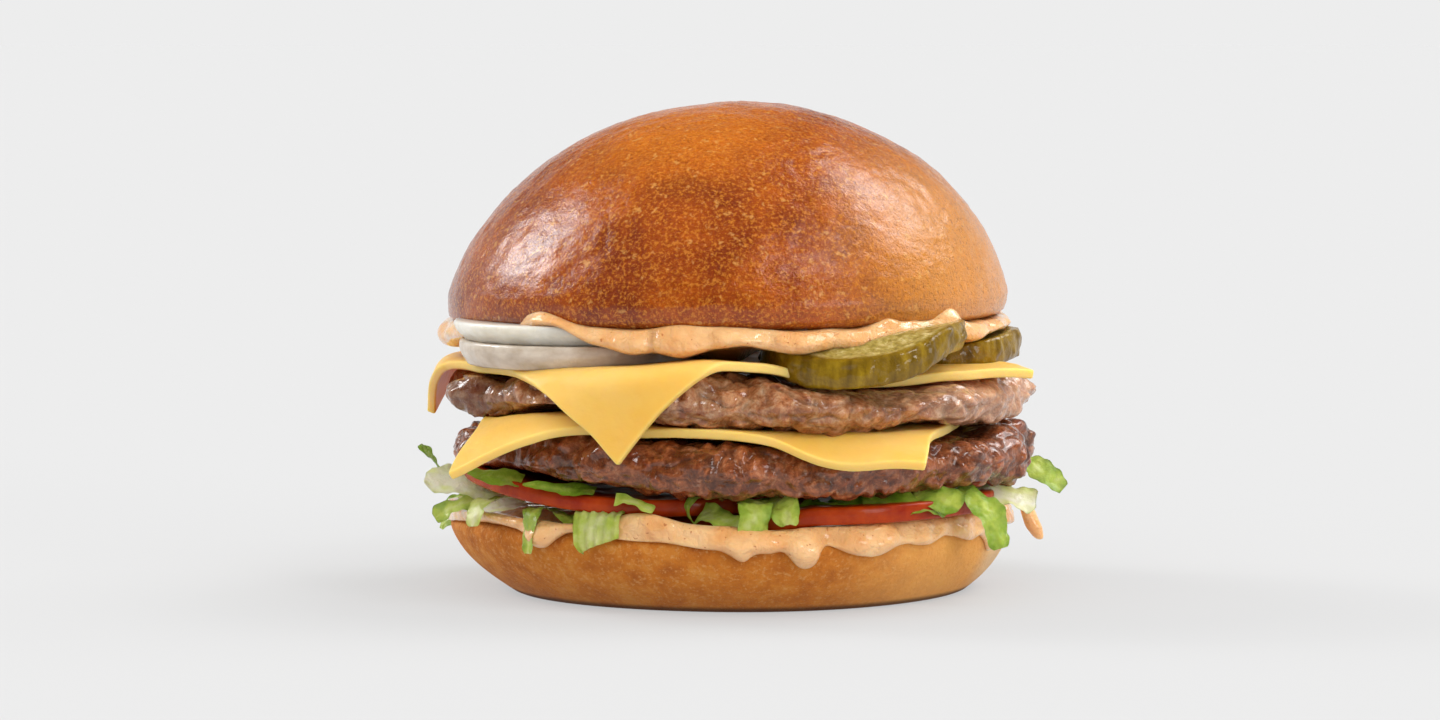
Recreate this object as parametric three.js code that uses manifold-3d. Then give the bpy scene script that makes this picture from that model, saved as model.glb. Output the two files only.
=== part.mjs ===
// A double cheeseburger in a glazed round bun, at its real size: millimetres, +Z up,
// with the origin on the surface that it rests on, under the middle of the heel's rim.
// Angles are in degrees, seen from above and counted anticlockwise from +X, so the front is -90.
import * as THREE from "three";
import { mergeVertices } from "three/addons/utils/BufferGeometryUtils.js";
import Module from "manifold-3d";

const wasm = await Module();
wasm.setup();

// ---- Driving dimensions ----

const GAP = 0.32; // clear space between pieces that touch
const BUN_RADIUS = 51.6; // of the crown
const CROWN_BASE = 50.3; // height of the crown's cut face
const CROWN_TOP = 89.3;
const CROWN_WIDEST = 54.5; // height at which the crown is widest
const HEEL_RADIUS = 51.2;
const HEEL_FOOT_RADIUS = 41.6;
const HEEL_FULL_HEIGHT = 12; // height at which the heel is widest
const HEEL_TOP = 13; // height of the heel's cut face
const HEEL_RIM = 14.6; // height of the crust round that face
const STACK_CENTRE = [3, -1]; // middle of both patties, which sit a little to the right
const PATTY_RADIUS = 53;
const LOWER_PATTY = { base: 22, top: 30.4, seed: 1.7 };
const UPPER_PATTY = { base: 33, top: 40.6, seed: 4.1 };
const CHEESE_SIDE = 87;
const CHEESE_THICKNESS = 1.7;
const TOMATO_RADIUS = 33;
const PICKLE_THICKNESS = 5.2;
const LETTUCE_THICKNESS = 0.7;

const COLOURS = {
  bun: 0xb5651f,
  heel: 0xb9773c,
  patty: 0x5d3a28,
  cheese: 0xefb94f,
  sauce: 0xe9b277,
  onion: 0xe6e3da,
  pickle: 0x7d7420,
  tomato: 0x9c3218,
  lettuce: 0x8fb04a,
};

// ---- Shaping helpers ----

const radians = THREE.MathUtils.degToRad;
const degrees = THREE.MathUtils.radToDeg;
const { smoothstep, lerp } = THREE.MathUtils;

/** 1 at an angle's own lobe, falling to 0 within about two spreads on either side. */
function nearness(angle, at, spread) {
  const turn = ((((angle - at) % 360) + 540) % 360) - 180;
  return Math.exp(-((turn / spread) ** 2));
}

/** How much of one property the lobes round a rim give at an angle. */
function lobed(lobes, key, angle) {
  return lobes.reduce((sum, lobe) => sum + (lobe[key] ?? 0) * nearness(angle, lobe.at, lobe.spread), 0);
}

/** A wavy number round the rim, from [height, count, phase] waves. */
function rippled(waves, angle) {
  return waves.reduce((sum, [height, count, phase]) => sum + height * Math.sin(radians(count * angle) + phase), 0);
}

/** Lumps of about the given size, from crossed waves that bend each other, between -1 and 1. */
function lumps(x, y, z, size, seed) {
  const a = (x / size) * 2.1 + seed;
  const b = (y / size) * 2.3 - seed * 1.7;
  const c = (z / size) * 2.6 + seed * 0.6;
  return (
    Math.sin(a + 1.3 * Math.sin(b + 0.7 * c)) * 0.5 +
    Math.sin(b + 1.1 * Math.sin(c + 0.9 * a)) * 0.3 +
    Math.sin(c + 1.2 * Math.sin(a - 0.8 * b)) * 0.2
  );
}

/** The geometry with each vertex moved by move(point), its seams merged. */
function reshaped(geometry, move) {
  geometry.deleteAttribute("normal");
  geometry.deleteAttribute("uv");
  const merged = mergeVertices(geometry, 1e-4);
  const position = merged.getAttribute("position");
  const point = new THREE.Vector3();
  for (let i = 0; i < position.count; i++) {
    point.fromBufferAttribute(position, i);
    move(point);
    position.setXYZ(i, point.x, point.y, point.z);
  }
  return merged;
}

/** A closed geometry as a solid that can be cut. */
function solidOf(geometry) {
  return new wasm.Manifold(
    new wasm.Mesh({
      numProp: 3,
      vertProperties: new Float32Array(geometry.getAttribute("position").array),
      triVerts: new Uint32Array(geometry.index.array),
    }),
  );
}

/** A solid as a geometry again. */
function geometryOf(solid) {
  const { vertProperties, triVerts } = solid.getMesh();
  return new THREE.BufferGeometry()
    .setAttribute("position", new THREE.BufferAttribute(vertProperties, 3))
    .setIndex(new THREE.BufferAttribute(triVerts, 1));
}

/** The solid less its neighbours. Scraps that a cut leaves loose are dropped. */
function fitted(solid, neighbours, coarseness = 0.14) {
  const cut = neighbours.reduce((left, neighbour) => left.subtract(neighbour), solid).simplify(coarseness);
  return cut.decompose().reduce((largest, piece) => (piece.volume() > largest.volume() ? piece : largest));
}

/** A solid turned about +Z. move(point, radius, angle) then shapes each point of it. */
function turned(profile, segments, move) {
  const points = profile.map(([radius, height]) => new THREE.Vector2(radius, height));
  const geometry = new THREE.LatheGeometry(points, segments).rotateX(Math.PI / 2);
  return solidOf(
    reshaped(geometry, (point) => {
      const radius = Math.hypot(point.x, point.y);
      const angle = radius < 1e-3 ? 0 : degrees(Math.atan2(point.y, point.x));
      move(point, radius, angle);
    }),
  );
}

/** Scales a point's distance from the Z axis. */
function widen(point, factor) {
  point.x *= factor;
  point.y *= factor;
}

// ---- Bun ----

/** The crown's outer radius at a height: a dome with soft shoulders that tucks in below its widest ring. */
function crownRadius(height) {
  if (height < CROWN_WIDEST) return BUN_RADIUS - 0.055 * (CROWN_WIDEST - height) ** 2;
  const rise = Math.min(1, (height - CROWN_WIDEST) / (CROWN_TOP - CROWN_WIDEST));
  return BUN_RADIUS * Math.sqrt(1 - rise ** (1.36 + 0.34 * rise));
}

/** The crown's outline, which isn't quite round. */
function crownUnevenness(angle) {
  return 1 + rippled([[0.007, 3, 0.6], [0.004, 7, 2.1]], angle);
}

/** How far right the crown's middle is at a height: the top of the dome leans over a little. */
function crownLean(height) {
  return -0.6 + (2.3 * (height - 52)) / 36;
}

/** How far the crown's rim hangs at an angle: it is lower at the left. */
function crownSag(angle) {
  return 1.2 * nearness(angle, 180, 26);
}

function makeCrown(grow = 0) {
  const heights = [CROWN_BASE, 51.6, 54.5, 59.5, 65, 70.5, 75.8, 80.6, 84.6, 87.5];
  const outside = heights.map((height) => [crownRadius(height) + grow, height - (height < 51 ? grow : 0)]);
  const profile = [
    [0, CROWN_BASE - grow],
    [BUN_RADIUS - 2.4, CROWN_BASE - grow],
    ...outside,
    [0, CROWN_TOP + grow],
  ];
  return turned(profile, 44, (point, radius, angle) => {
    const lean = crownLean(point.z);
    widen(point, crownUnevenness(angle));
    point.z -= crownSag(angle) * smoothstep(radius, 38, 48) * (1 - smoothstep(point.z, 51, 60));
    point.x += lean;
  });
}

/** The heel's outer radius at a height: a flat foot, a full round side and a rolled rim. */
function heelRadius(height) {
  const below = 1 - THREE.MathUtils.clamp(height / HEEL_FULL_HEIGHT, 0, 1);
  const side = lerp(HEEL_RADIUS, HEEL_FOOT_RADIUS, below ** 1.8);
  return side - 1.1 * smoothstep(height, 12.2, HEEL_RIM + 0.4);
}

/** The heel's outline, which isn't quite round. */
function heelUnevenness(angle) {
  return 1 + rippled([[0.006, 2, 0.4], [0.005, 5, 1.9]], angle);
}

/** How far right the heel's middle is at a height: its foot sits to the right of its rim. */
function heelLean(height) {
  return 2 * (1 - THREE.MathUtils.clamp(height / HEEL_FULL_HEIGHT, 0, 1));
}

function makeHeel(grow = 0) {
  const heights = [0.9, 2.4, 4.6, 7.6, 11, 13.4, HEEL_RIM];
  const profile = [
    [0, -grow],
    [HEEL_FOOT_RADIUS - 2, -grow],
    [HEEL_FOOT_RADIUS, 0],
    ...heights.map((height) => [heelRadius(height) + grow, height + (height === HEEL_RIM ? grow : 0)]),
    [HEEL_RADIUS - 3.6, HEEL_TOP + 0.3 + grow],
    [0, HEEL_TOP + grow],
  ];
  return turned(profile, 42, (point, radius, angle) => {
    if (radius > HEEL_FOOT_RADIUS - 1) widen(point, heelUnevenness(angle));
    point.x += heelLean(point.z);
  });
}

// ---- Patties ----

// Where the upper patty's top face stands above or below its mean, round its rim.
const UPPER_PATTY_TOP = [
  { at: -97, spread: 17, lift: 2.7 },
  { at: -84, spread: 6, lift: 0.6 },
  { at: -62, spread: 22, lift: -1.4 },
  { at: -128, spread: 18, lift: 0.7 },
  { at: 5, spread: 50, lift: 0.1 },
  { at: 95, spread: 40, lift: 0.9 },
];
const LOWER_PATTY_TOP = [
  { at: -95, spread: 14, lift: 0.5 },
  { at: -130, spread: 20, lift: 2.8 },
  { at: -12, spread: 13, lift: 1.2 },
];
// Where each patty's underside stands above or below its mean.
const UPPER_PATTY_BASE = [
  { at: -131, spread: 17, lift: 3.4 },
  { at: -71, spread: 9, lift: -1.5 },
  { at: -57, spread: 8, lift: 0.5 },
  { at: -28, spread: 15, lift: -1.1 },
  { at: -160, spread: 14, lift: -0.6 },
];
const LOWER_PATTY_BASE = [
  { at: -142, spread: 24, lift: 2.1 },
  { at: -96, spread: 16, lift: -1.6 },
  { at: -74, spread: 12, lift: -1.1 },
  { at: -58, spread: 10, lift: -1.4 },
  { at: -42, spread: 12, lift: -0.7 },
  { at: -18, spread: 19, lift: -1.9 },
  { at: 70, spread: 60, lift: -1 },
];
// Where the lower patty's rim stands in.
const LOWER_PATTY_OUT = [{ at: -5, spread: 32, out: -1.3 }];

/** A patty's outline round its middle. */
function pattyRim(angle, seed) {
  return PATTY_RADIUS + rippled([[0.9, 3, seed], [0.6, 7, seed * 2.3], [0.5, 13, seed * 3.1], [0.35, 19, seed]], angle);
}

/** How high the top face of a patty stands. */
function pattyTop(patty, radius, angle) {
  return patty.top + lobed(patty.topLobes, "lift", angle) * smoothstep(radius, 22, 48);
}

const LOWER = { ...LOWER_PATTY, topLobes: LOWER_PATTY_TOP, baseLobes: LOWER_PATTY_BASE, outLobes: LOWER_PATTY_OUT };
const UPPER = { ...UPPER_PATTY, topLobes: UPPER_PATTY_TOP, baseLobes: UPPER_PATTY_BASE, outLobes: [] };

/** A pressed patty: nearly flat faces and a blunt, craggy rim. */
function makePatty(patty, grow = 0) {
  const { base, top, seed } = patty;
  const middle = (base + top) / 2;
  const profile = [
    [0, base],
    [0.6, base],
    [0.88, base],
    [0.965, base + 0.9],
    [0.995, base + 2.8],
    [1, middle],
    [0.99, top - 2.5],
    [0.955, top - 0.9],
    [0.88, top - 0.3],
    [0.6, top - 0.5],
    [0, top - 0.5],
  ];
  return turned(profile, 46, (point, share, angle) => {
    const outward = smoothstep(share, 0.7, 0.97);
    const above = point.z > middle;
    const ease = smoothstep(share * PATTY_RADIUS, 22, 48) * Math.min(1, (2 * Math.abs(point.z - middle)) / (top - base));
    widen(point, pattyRim(angle, seed) + lobed(patty.outLobes, "out", angle) + grow);
    const crag = lumps(point.x, point.y, point.z, 8, seed);
    widen(point, 1 + (crag * 1.6 * outward) / PATTY_RADIUS);
    point.z += lobed(above ? patty.topLobes : patty.baseLobes, "lift", angle) * ease;
    point.z += crag * 0.5 * outward + (above ? grow : -grow);
    point.x += STACK_CENTRE[0];
    point.y += STACK_CENTRE[1];
  });
}

// ---- Cheese slices ----

// Each slice lies flat on its patty and bends over the rim. A hang gives the steepest angle that
// the slice reaches beyond the rim, at the corners and sides named by their direction. A pull
// draws the slice to the right along one of its sides, at a place along that side.
const UPPER_CHEESE = {
  patty: UPPER,
  corner: [-23.4, -64.8], // the corner that hangs in front, before it is bent
  turn: 26,
  pulls: [],
  bend: 2.6,
  rim: 52.2,
  inset: [{ at: 167, spread: 20, by: -1.6 }],
  hangs: [
    { at: -112.5, spread: 26, slope: 82 },
    { at: 167.5, spread: 30, slope: 72 },
    { at: -26.5, spread: 22, slope: 9 },
    { at: 76, spread: 30, slope: 58 },
    { at: -70, spread: 12, slope: 18 },
    { at: -155, spread: 14, slope: 12 },
  ],
};
const LOWER_CHEESE = {
  patty: LOWER,
  corner: [-51.3, -42.4],
  turn: -11,
  pulls: [
    { side: 0, at: 17, spread: 11, by: 4 },
    { side: CHEESE_SIDE, at: 14, spread: 9, by: -1.4 },
  ],
  bend: 3.2,
  rim: 51,
  inset: [
    { at: -76, spread: 13, by: 3.4 },
    { at: -112, spread: 10, by: 1.5 },
  ],
  hangs: [
    { at: -140.5, spread: 24, slope: 35 },
    { at: -112, spread: 9, slope: 16 },
    { at: -76, spread: 9, slope: 28 },
    { at: -57, spread: 15, slope: 15 },
    { at: 132, spread: 26, slope: 62 },
    { at: 36.5, spread: 26, slope: 48 },
  ],
};

/** Bends a point of a flat slice over the rim of its patty. height is measured up from the slice's underside. */
function drape(point, slice, height) {
  const x = point.x - STACK_CENTRE[0];
  const y = point.y - STACK_CENTRE[1];
  const angle = degrees(Math.atan2(y, x));
  const radius = Math.hypot(x, y);
  const slope = radians(Math.min(85, lobed(slice.hangs, "slope", angle)));
  const rim = slice.rim - lobed(slice.inset, "by", angle);
  const over = Math.max(0, radius - rim);
  const bent = Math.min(slope, over / slice.bend);
  const straight = Math.max(0, over - slope * slice.bend);
  const out = Math.min(radius, rim) + slice.bend * Math.sin(bent) + straight * Math.cos(slope);
  const down = slice.bend * (1 - Math.cos(bent)) + straight * Math.sin(slope);
  const reach = out + height * Math.sin(bent);
  const share = radius < 1e-3 ? 0 : reach / radius;
  point.x = STACK_CENTRE[0] + x * share;
  point.y = STACK_CENTRE[1] + y * share;
  point.z = pattyTop(slice.patty, Math.min(radius, rim), angle) + GAP - down + height * Math.cos(bent);
}

/** A slice. A cover is the slice with extra room above it, to clear what it wraps. */
function makeCheese(slice, grow = 0, cover = 0) {
  const side = CHEESE_SIDE + 2 * grow;
  const cells = 11;
  const turn = radians(slice.turn);
  const geometry = new THREE.BoxGeometry(side, side, CHEESE_THICKNESS + 2 * grow, cells, cells, 1);
  return solidOf(
    reshaped(geometry, (point) => {
      const across = point.y + CHEESE_SIDE / 2;
      let along = point.x + CHEESE_SIDE / 2;
      for (const { side, at, spread, by } of slice.pulls) {
        along += by * nearness(across, at, spread) * Math.exp(-Math.abs(along - side) / 14);
      }
      const height = point.z + CHEESE_THICKNESS / 2 + (point.z > 0 ? cover : 0);
      point.x = slice.corner[0] + along * Math.cos(turn) - across * Math.sin(turn);
      point.y = slice.corner[1] + along * Math.sin(turn) + across * Math.cos(turn);
      drape(point, slice, height);
    }),
  );
}

// ---- Onion, pickle and tomato slices ----

/** Tilts a point about a slice's middle: rises per millimetre to the right and to the back. */
function tilt(point, { middle: [x, y, z], right = 0, back = 0 }) {
  point.z += z + right * point.x + back * point.y;
  point.x += x;
  point.y += y;
}

const LOWER_ONION = { middle: [-24.6, -20.5, 42.8], thickness: 4, right: 0.004, back: 0.006, wide: 23.6, narrow: 22.3 };
const UPPER_ONION = { middle: [-25, -20, 47.2], thickness: 2.7, wide: 24.2, narrow: 22.4 };

/** An onion slice: the outermost ring's skin side slopes in towards its narrow face, which is down. */
function makeOnion(place, grow = 0) {
  const { thickness } = place;
  const profile = [
    [0, -grow],
    [place.narrow - 0.8 + grow, -grow],
    [place.narrow + grow, 0.5],
    [place.wide + grow, thickness - 0.5],
    [place.wide - 0.7 + grow, thickness + grow],
    [0, thickness + grow],
  ];
  return turned(profile, 30, (point, radius, angle) => {
    widen(point, 1 + rippled([[0.012, 2, 1.1], [0.006, 3, 0.2]], angle));
    tilt(point, place);
  });
}

const FRONT_PICKLE = { middle: [23.7, -35.2, 44.2], radius: 17.8, right: 0.11, droop: { from: 7, by: 0.36 } };
const SIDE_PICKLE = { middle: [37.6, -6.5, 41.6], radius: 15.4, right: 0.12, back: 0.04, droop: { from: 12, by: 0 } };

/** A pickle slice: rounded skin side, not quite round, and its front edge droops over the patty. */
function makePickle(place, grow = 0) {
  const r = place.radius + grow;
  const t = PICKLE_THICKNESS;
  const profile = [
    [0, -grow],
    [r * 0.6, -grow],
    [r - 0.8, -grow],
    [r, 0.9],
    [r, t - 0.9],
    [r - 0.8, t + grow],
    [0, t + grow],
  ];
  return turned(profile, 30, (point, radius, angle) => {
    widen(point, 1 + rippled([[0.015, 2, 0.3], [0.01, 5, 1.2]], angle));
    const over = Math.max(0, -point.y - place.droop.from);
    point.z -= place.droop.by * over * smoothstep(over, -4, 9);
    tilt(point, place);
  });
}

// The left slice curls up towards its free side. The right one dips under it.
const LEFT_TOMATO = { middle: [-15.5, -13, 17.4], thickness: 3, flatTo: 5.5, curl: 0.0031, dip: 0 };
const RIGHT_TOMATO = { middle: [15, -15, 15.9], thickness: 3, right: 0.012, flatTo: 0, curl: 0, dip: 2.1 };

function makeTomato(place, grow = 0) {
  const r = TOMATO_RADIUS + grow;
  const t = place.thickness;
  const profile = [
    [0, -grow],
    [r * 0.55, -grow],
    [r - 0.7, -grow],
    [r, 0.7],
    [r, t - 0.7],
    [r - 0.7, t + grow],
    [r * 0.55, t + grow],
    [0, t + grow],
  ];
  return turned(profile, 30, (point, radius, angle) => {
    widen(point, 1 + rippled([[0.012, 3, 0.8], [0.008, 5, 2.4]], angle));
    point.z += place.curl * Math.max(0, place.flatTo - point.x) ** 2;
    point.z -= place.dip * (1 - smoothstep(point.x, -14, 2));
    tilt(point, place);
  });
}

// ---- Sauce ----

// Blobs round the crown's rim: how far each stands out, climbs the crust and hangs down.
const CROWN_SAUCE = [
  { at: 180, spread: 8, out: 1.5, rise: 0.2, drop: 1.6 },
  { at: 163, spread: 8, out: 0.7, rise: 0.8, drop: 0.6 },
  { at: -142, spread: 10, out: -2.2, rise: -0.6, drop: -2.6 },
  { at: -130, spread: 6, out: 1.5, rise: 2.5, drop: -1.6 },
  { at: -124, spread: 5, out: 0.7, rise: 0.6, drop: -2.4 },
  { at: -108.5, spread: 5, out: 0.9, rise: -0.2, drop: 1.1 },
  { at: -98.5, spread: 4.6, out: 1.6, rise: 0.9, drop: 1.6 },
  { at: -91, spread: 3.6, out: 0.9, rise: 0.4, drop: 0.1 },
  { at: -86.5, spread: 3.5, out: 1, rise: 0.2, drop: -0.4 },
  { at: -75, spread: 5.4, out: 1.5, rise: -0.5, drop: 1.2 },
  { at: -63.5, spread: 4, out: 1.2, rise: -0.3, drop: 0.4 },
  { at: -56, spread: 3.4, out: 1.2, rise: 1.5, drop: -0.7 },
  { at: -49, spread: 4, out: 0.9, rise: 0.9, drop: -1.8 },
  { at: -38.5, spread: 4.6, out: 2.3, rise: 2.6, drop: -1.6 },
  { at: -27.5, spread: 4, out: 0.9, rise: -0.4, drop: 0.5 },
  { at: -16, spread: 6, out: 0.7, rise: -0.6, drop: -0.8 },
  { at: -3, spread: 6, out: 0.6, rise: -0.4, drop: -1 },
  { at: 9, spread: 6, out: 0.9, rise: 0.8, drop: 0.9 },
  { at: 31, spread: 8, out: 1.7, rise: 0.4, drop: 1.8 },
  { at: 52, spread: 7, out: 0.8, rise: 1.6, drop: 0.6 },
  { at: 78, spread: 9, out: 1.6, rise: 0.7, drop: 2.1 },
  { at: 104, spread: 8, out: 1.1, rise: 2.3, drop: 0.6 },
  { at: 130, spread: 10, out: 1.8, rise: 0.6, drop: 1.5 },
];

function makeCrownSauce() {
  const rim = crownRadius(CROWN_BASE);
  const ceiling = CROWN_BASE - GAP;
  const floor = CROWN_BASE - 3.2;
  // [part of the way from the lip's inside to its outside, part of the way from its foot to its crest]
  const lip = [
    [0, 0.04],
    [0.45, 0],
    [0.85, 0.1],
    [1, 0.36],
    [0.92, 0.66],
    [0.6, 0.9],
    [0.2, 1],
  ];
  const start = 70; // profile radii from here on only number the lip's points
  const marks = [...lip.keys(), lip.length].map((mark) => [start + mark, 0]);
  const profile = [[36, ceiling - 0.6], ...marks, [36, ceiling], [36, ceiling - 0.6]];
  return turned(profile, 44, (point, radius, angle) => {
    const mark = Math.round(radius - start);
    if (mark >= 0) {
      const foot = floor - lobed(CROWN_SAUCE, "drop", angle);
      const crest = ceiling + Math.max(0.3, 0.7 + lobed(CROWN_SAUCE, "rise", angle));
      const outside = rim + 1.1 + lobed(CROWN_SAUCE, "out", angle);
      const underCrust = mark === lip.length;
      const [outward, upward] = underCrust ? [0, 1] : lip[mark];
      const height = underCrust ? ceiling : lerp(foot, crest, upward);
      const crust = Math.max(CROWN_BASE, height);
      const hug = crownRadius(crust) + GAP + 0.1;
      const inner = lerp(rim - 4, hug, smoothstep(upward, 0.5, 0.95));
      const reach = lerp(inner, Math.max(outside, hug + 0.6), outward);
      widen(point, (reach / radius) * crownUnevenness(angle));
      point.z = height - crownSag(angle);
    }
    point.x += crownLean(CROWN_BASE);
  });
}

// Runs down the heel's side, and ridges that stand up beside the filling.
const HEEL_SAUCE = [
  { at: -176, spread: 9, out: 0.4, drop: 0.6, rise: 0.9 },
  { at: -146, spread: 13, out: 0.5, drop: -1.2, rise: 1.2 },
  { at: -130.6, spread: 3, out: 1.1, drop: 1.8, rise: 0.4 },
  { at: -127.6, spread: 2.6, out: 0.8, drop: 1.3, rise: 0.2 },
  { at: -121, spread: 6, out: 0.6, drop: -0.9, rise: 0.2 },
  { at: -108, spread: 9, out: 0.9, drop: -0.1, rise: 3.4 },
  { at: -92, spread: 8, out: 0.8, drop: 1.2, rise: 0.7 },
  { at: -87.8, spread: 2.3, out: 0.9, drop: 2.1, rise: 0 },
  { at: -82, spread: 4.5, out: 1.1, drop: 1.6, rise: -0.4 },
  { at: -76.3, spread: 2.1, out: 1.2, drop: 4.1, rise: -0.2 },
  { at: -74.1, spread: 2.1, out: 1.2, drop: 4.1, rise: -0.2 },
  { at: -58, spread: 22, out: 0, drop: 0, rise: 0.9 },
  { at: -66, spread: 4, out: 0.9, drop: 1.3, rise: -0.4 },
  { at: -60, spread: 6, out: 1.4, drop: 2.8, rise: -0.2 },
  { at: -47.5, spread: 5, out: 0.9, drop: 1.8, rise: 0.1 },
  { at: -33, spread: 6, out: 0.8, drop: 1.9, rise: 0.6 },
  { at: -23, spread: 3.6, out: 0.4, drop: 4.6, rise: 0.6 },
  { at: -6, spread: 8, out: 0.7, drop: 1.4, rise: 0.7 },
  { at: 14, spread: 6, out: 0.8, drop: 3.1, rise: 0.9 },
  { at: 38, spread: 5, out: 1.3, drop: 4.4, rise: 0.7 },
  { at: 62, spread: 9, out: 0.7, drop: 1.5, rise: 1.2 },
  { at: 88, spread: 5, out: 1.4, drop: 5, rise: 0.6 },
  { at: 112, spread: 9, out: 0.9, drop: 2, rise: 1.1 },
  { at: 138, spread: 5, out: 1.1, drop: 3.9, rise: 0.5 },
  { at: 160, spread: 8, out: 0.6, drop: 1.5, rise: 0.9 },
];

function makeHeelSauce(grow = 0) {
  const floor = HEEL_TOP + GAP;
  const surface = HEEL_TOP + 0.75;
  const lip = [
    [0.05, 1],
    [0.5, 1.02],
    [0.9, 0.84],
    [1, 0.6],
    [0.9, 0.28],
    [0.66, 0.05],
    [0.3, 0],
    [0, 0.16],
    [0, 0.5],
  ];
  const start = 60; // profile radii from here on only number the lip's points
  const marks = [...lip.keys(), lip.length].map((mark) => [start + mark, 0]);
  const profile = [
    [0, floor - grow],
    [HEEL_RADIUS - 3.6, floor + 0.4 - grow],
    ...marks.reverse(),
    [43, surface + 0.4 + grow],
    [38, surface + grow],
    [0, surface + grow],
  ];
  return turned(profile, 44, (point, radius, angle) => {
    const mark = Math.round(radius - start);
    if (mark >= 0) {
      const foot = HEEL_RIM - 1.2 - lobed(HEEL_SAUCE, "drop", angle) - grow;
      const crest = HEEL_RIM + 0.9 + lobed(HEEL_SAUCE, "rise", angle) * 0.8 + grow;
      const overRim = mark === lip.length;
      const [outward, upward] = overRim ? [0, 1] : lip[mark];
      const height = overRim ? HEEL_RIM + GAP + 0.05 : Math.min(lerp(foot, crest, upward), outward ? 99 : HEEL_RIM - 0.3);
      const hug = heelRadius(Math.min(height, HEEL_RIM)) + GAP + 0.4;
      const reach = mark < 1 ? HEEL_RADIUS - 3 : lerp(hug, hug + 1.2 + lobed(HEEL_SAUCE, "out", angle) + grow, outward);
      widen(point, (reach / radius) * heelUnevenness(angle));
      point.z = height;
      point.x += heelLean(height);
    } else if (radius > 40 && point.z > surface) {
      point.z += lobed(HEEL_SAUCE, "rise", angle) * 0.5;
    }
  });
}

// The drip that hangs free beside the heel, from [x, y, z] at its top, and how far its tip leans out.
const DRIP = { top: [54.4, -10, 16.6], length: 7, radius: 1.5, lean: 2.6 };

function makeDrip() {
  const { length, radius } = DRIP;
  const profile = [
    [0, -length],
    [radius * 0.55, -length * 0.94],
    [radius * 0.85, -length * 0.75],
    [radius, -length * 0.45],
    [radius * 0.9, -length * 0.15],
    [radius * 0.5, 0],
    [0, 0.1],
  ];
  return turned(profile, 9, (point) => {
    const share = Math.max(0, -point.z / length);
    point.x += DRIP.top[0] + DRIP.lean * share ** 1.4;
    point.y += DRIP.top[1];
    point.z += DRIP.top[2];
  });
}

// ---- Lettuce ----

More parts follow.
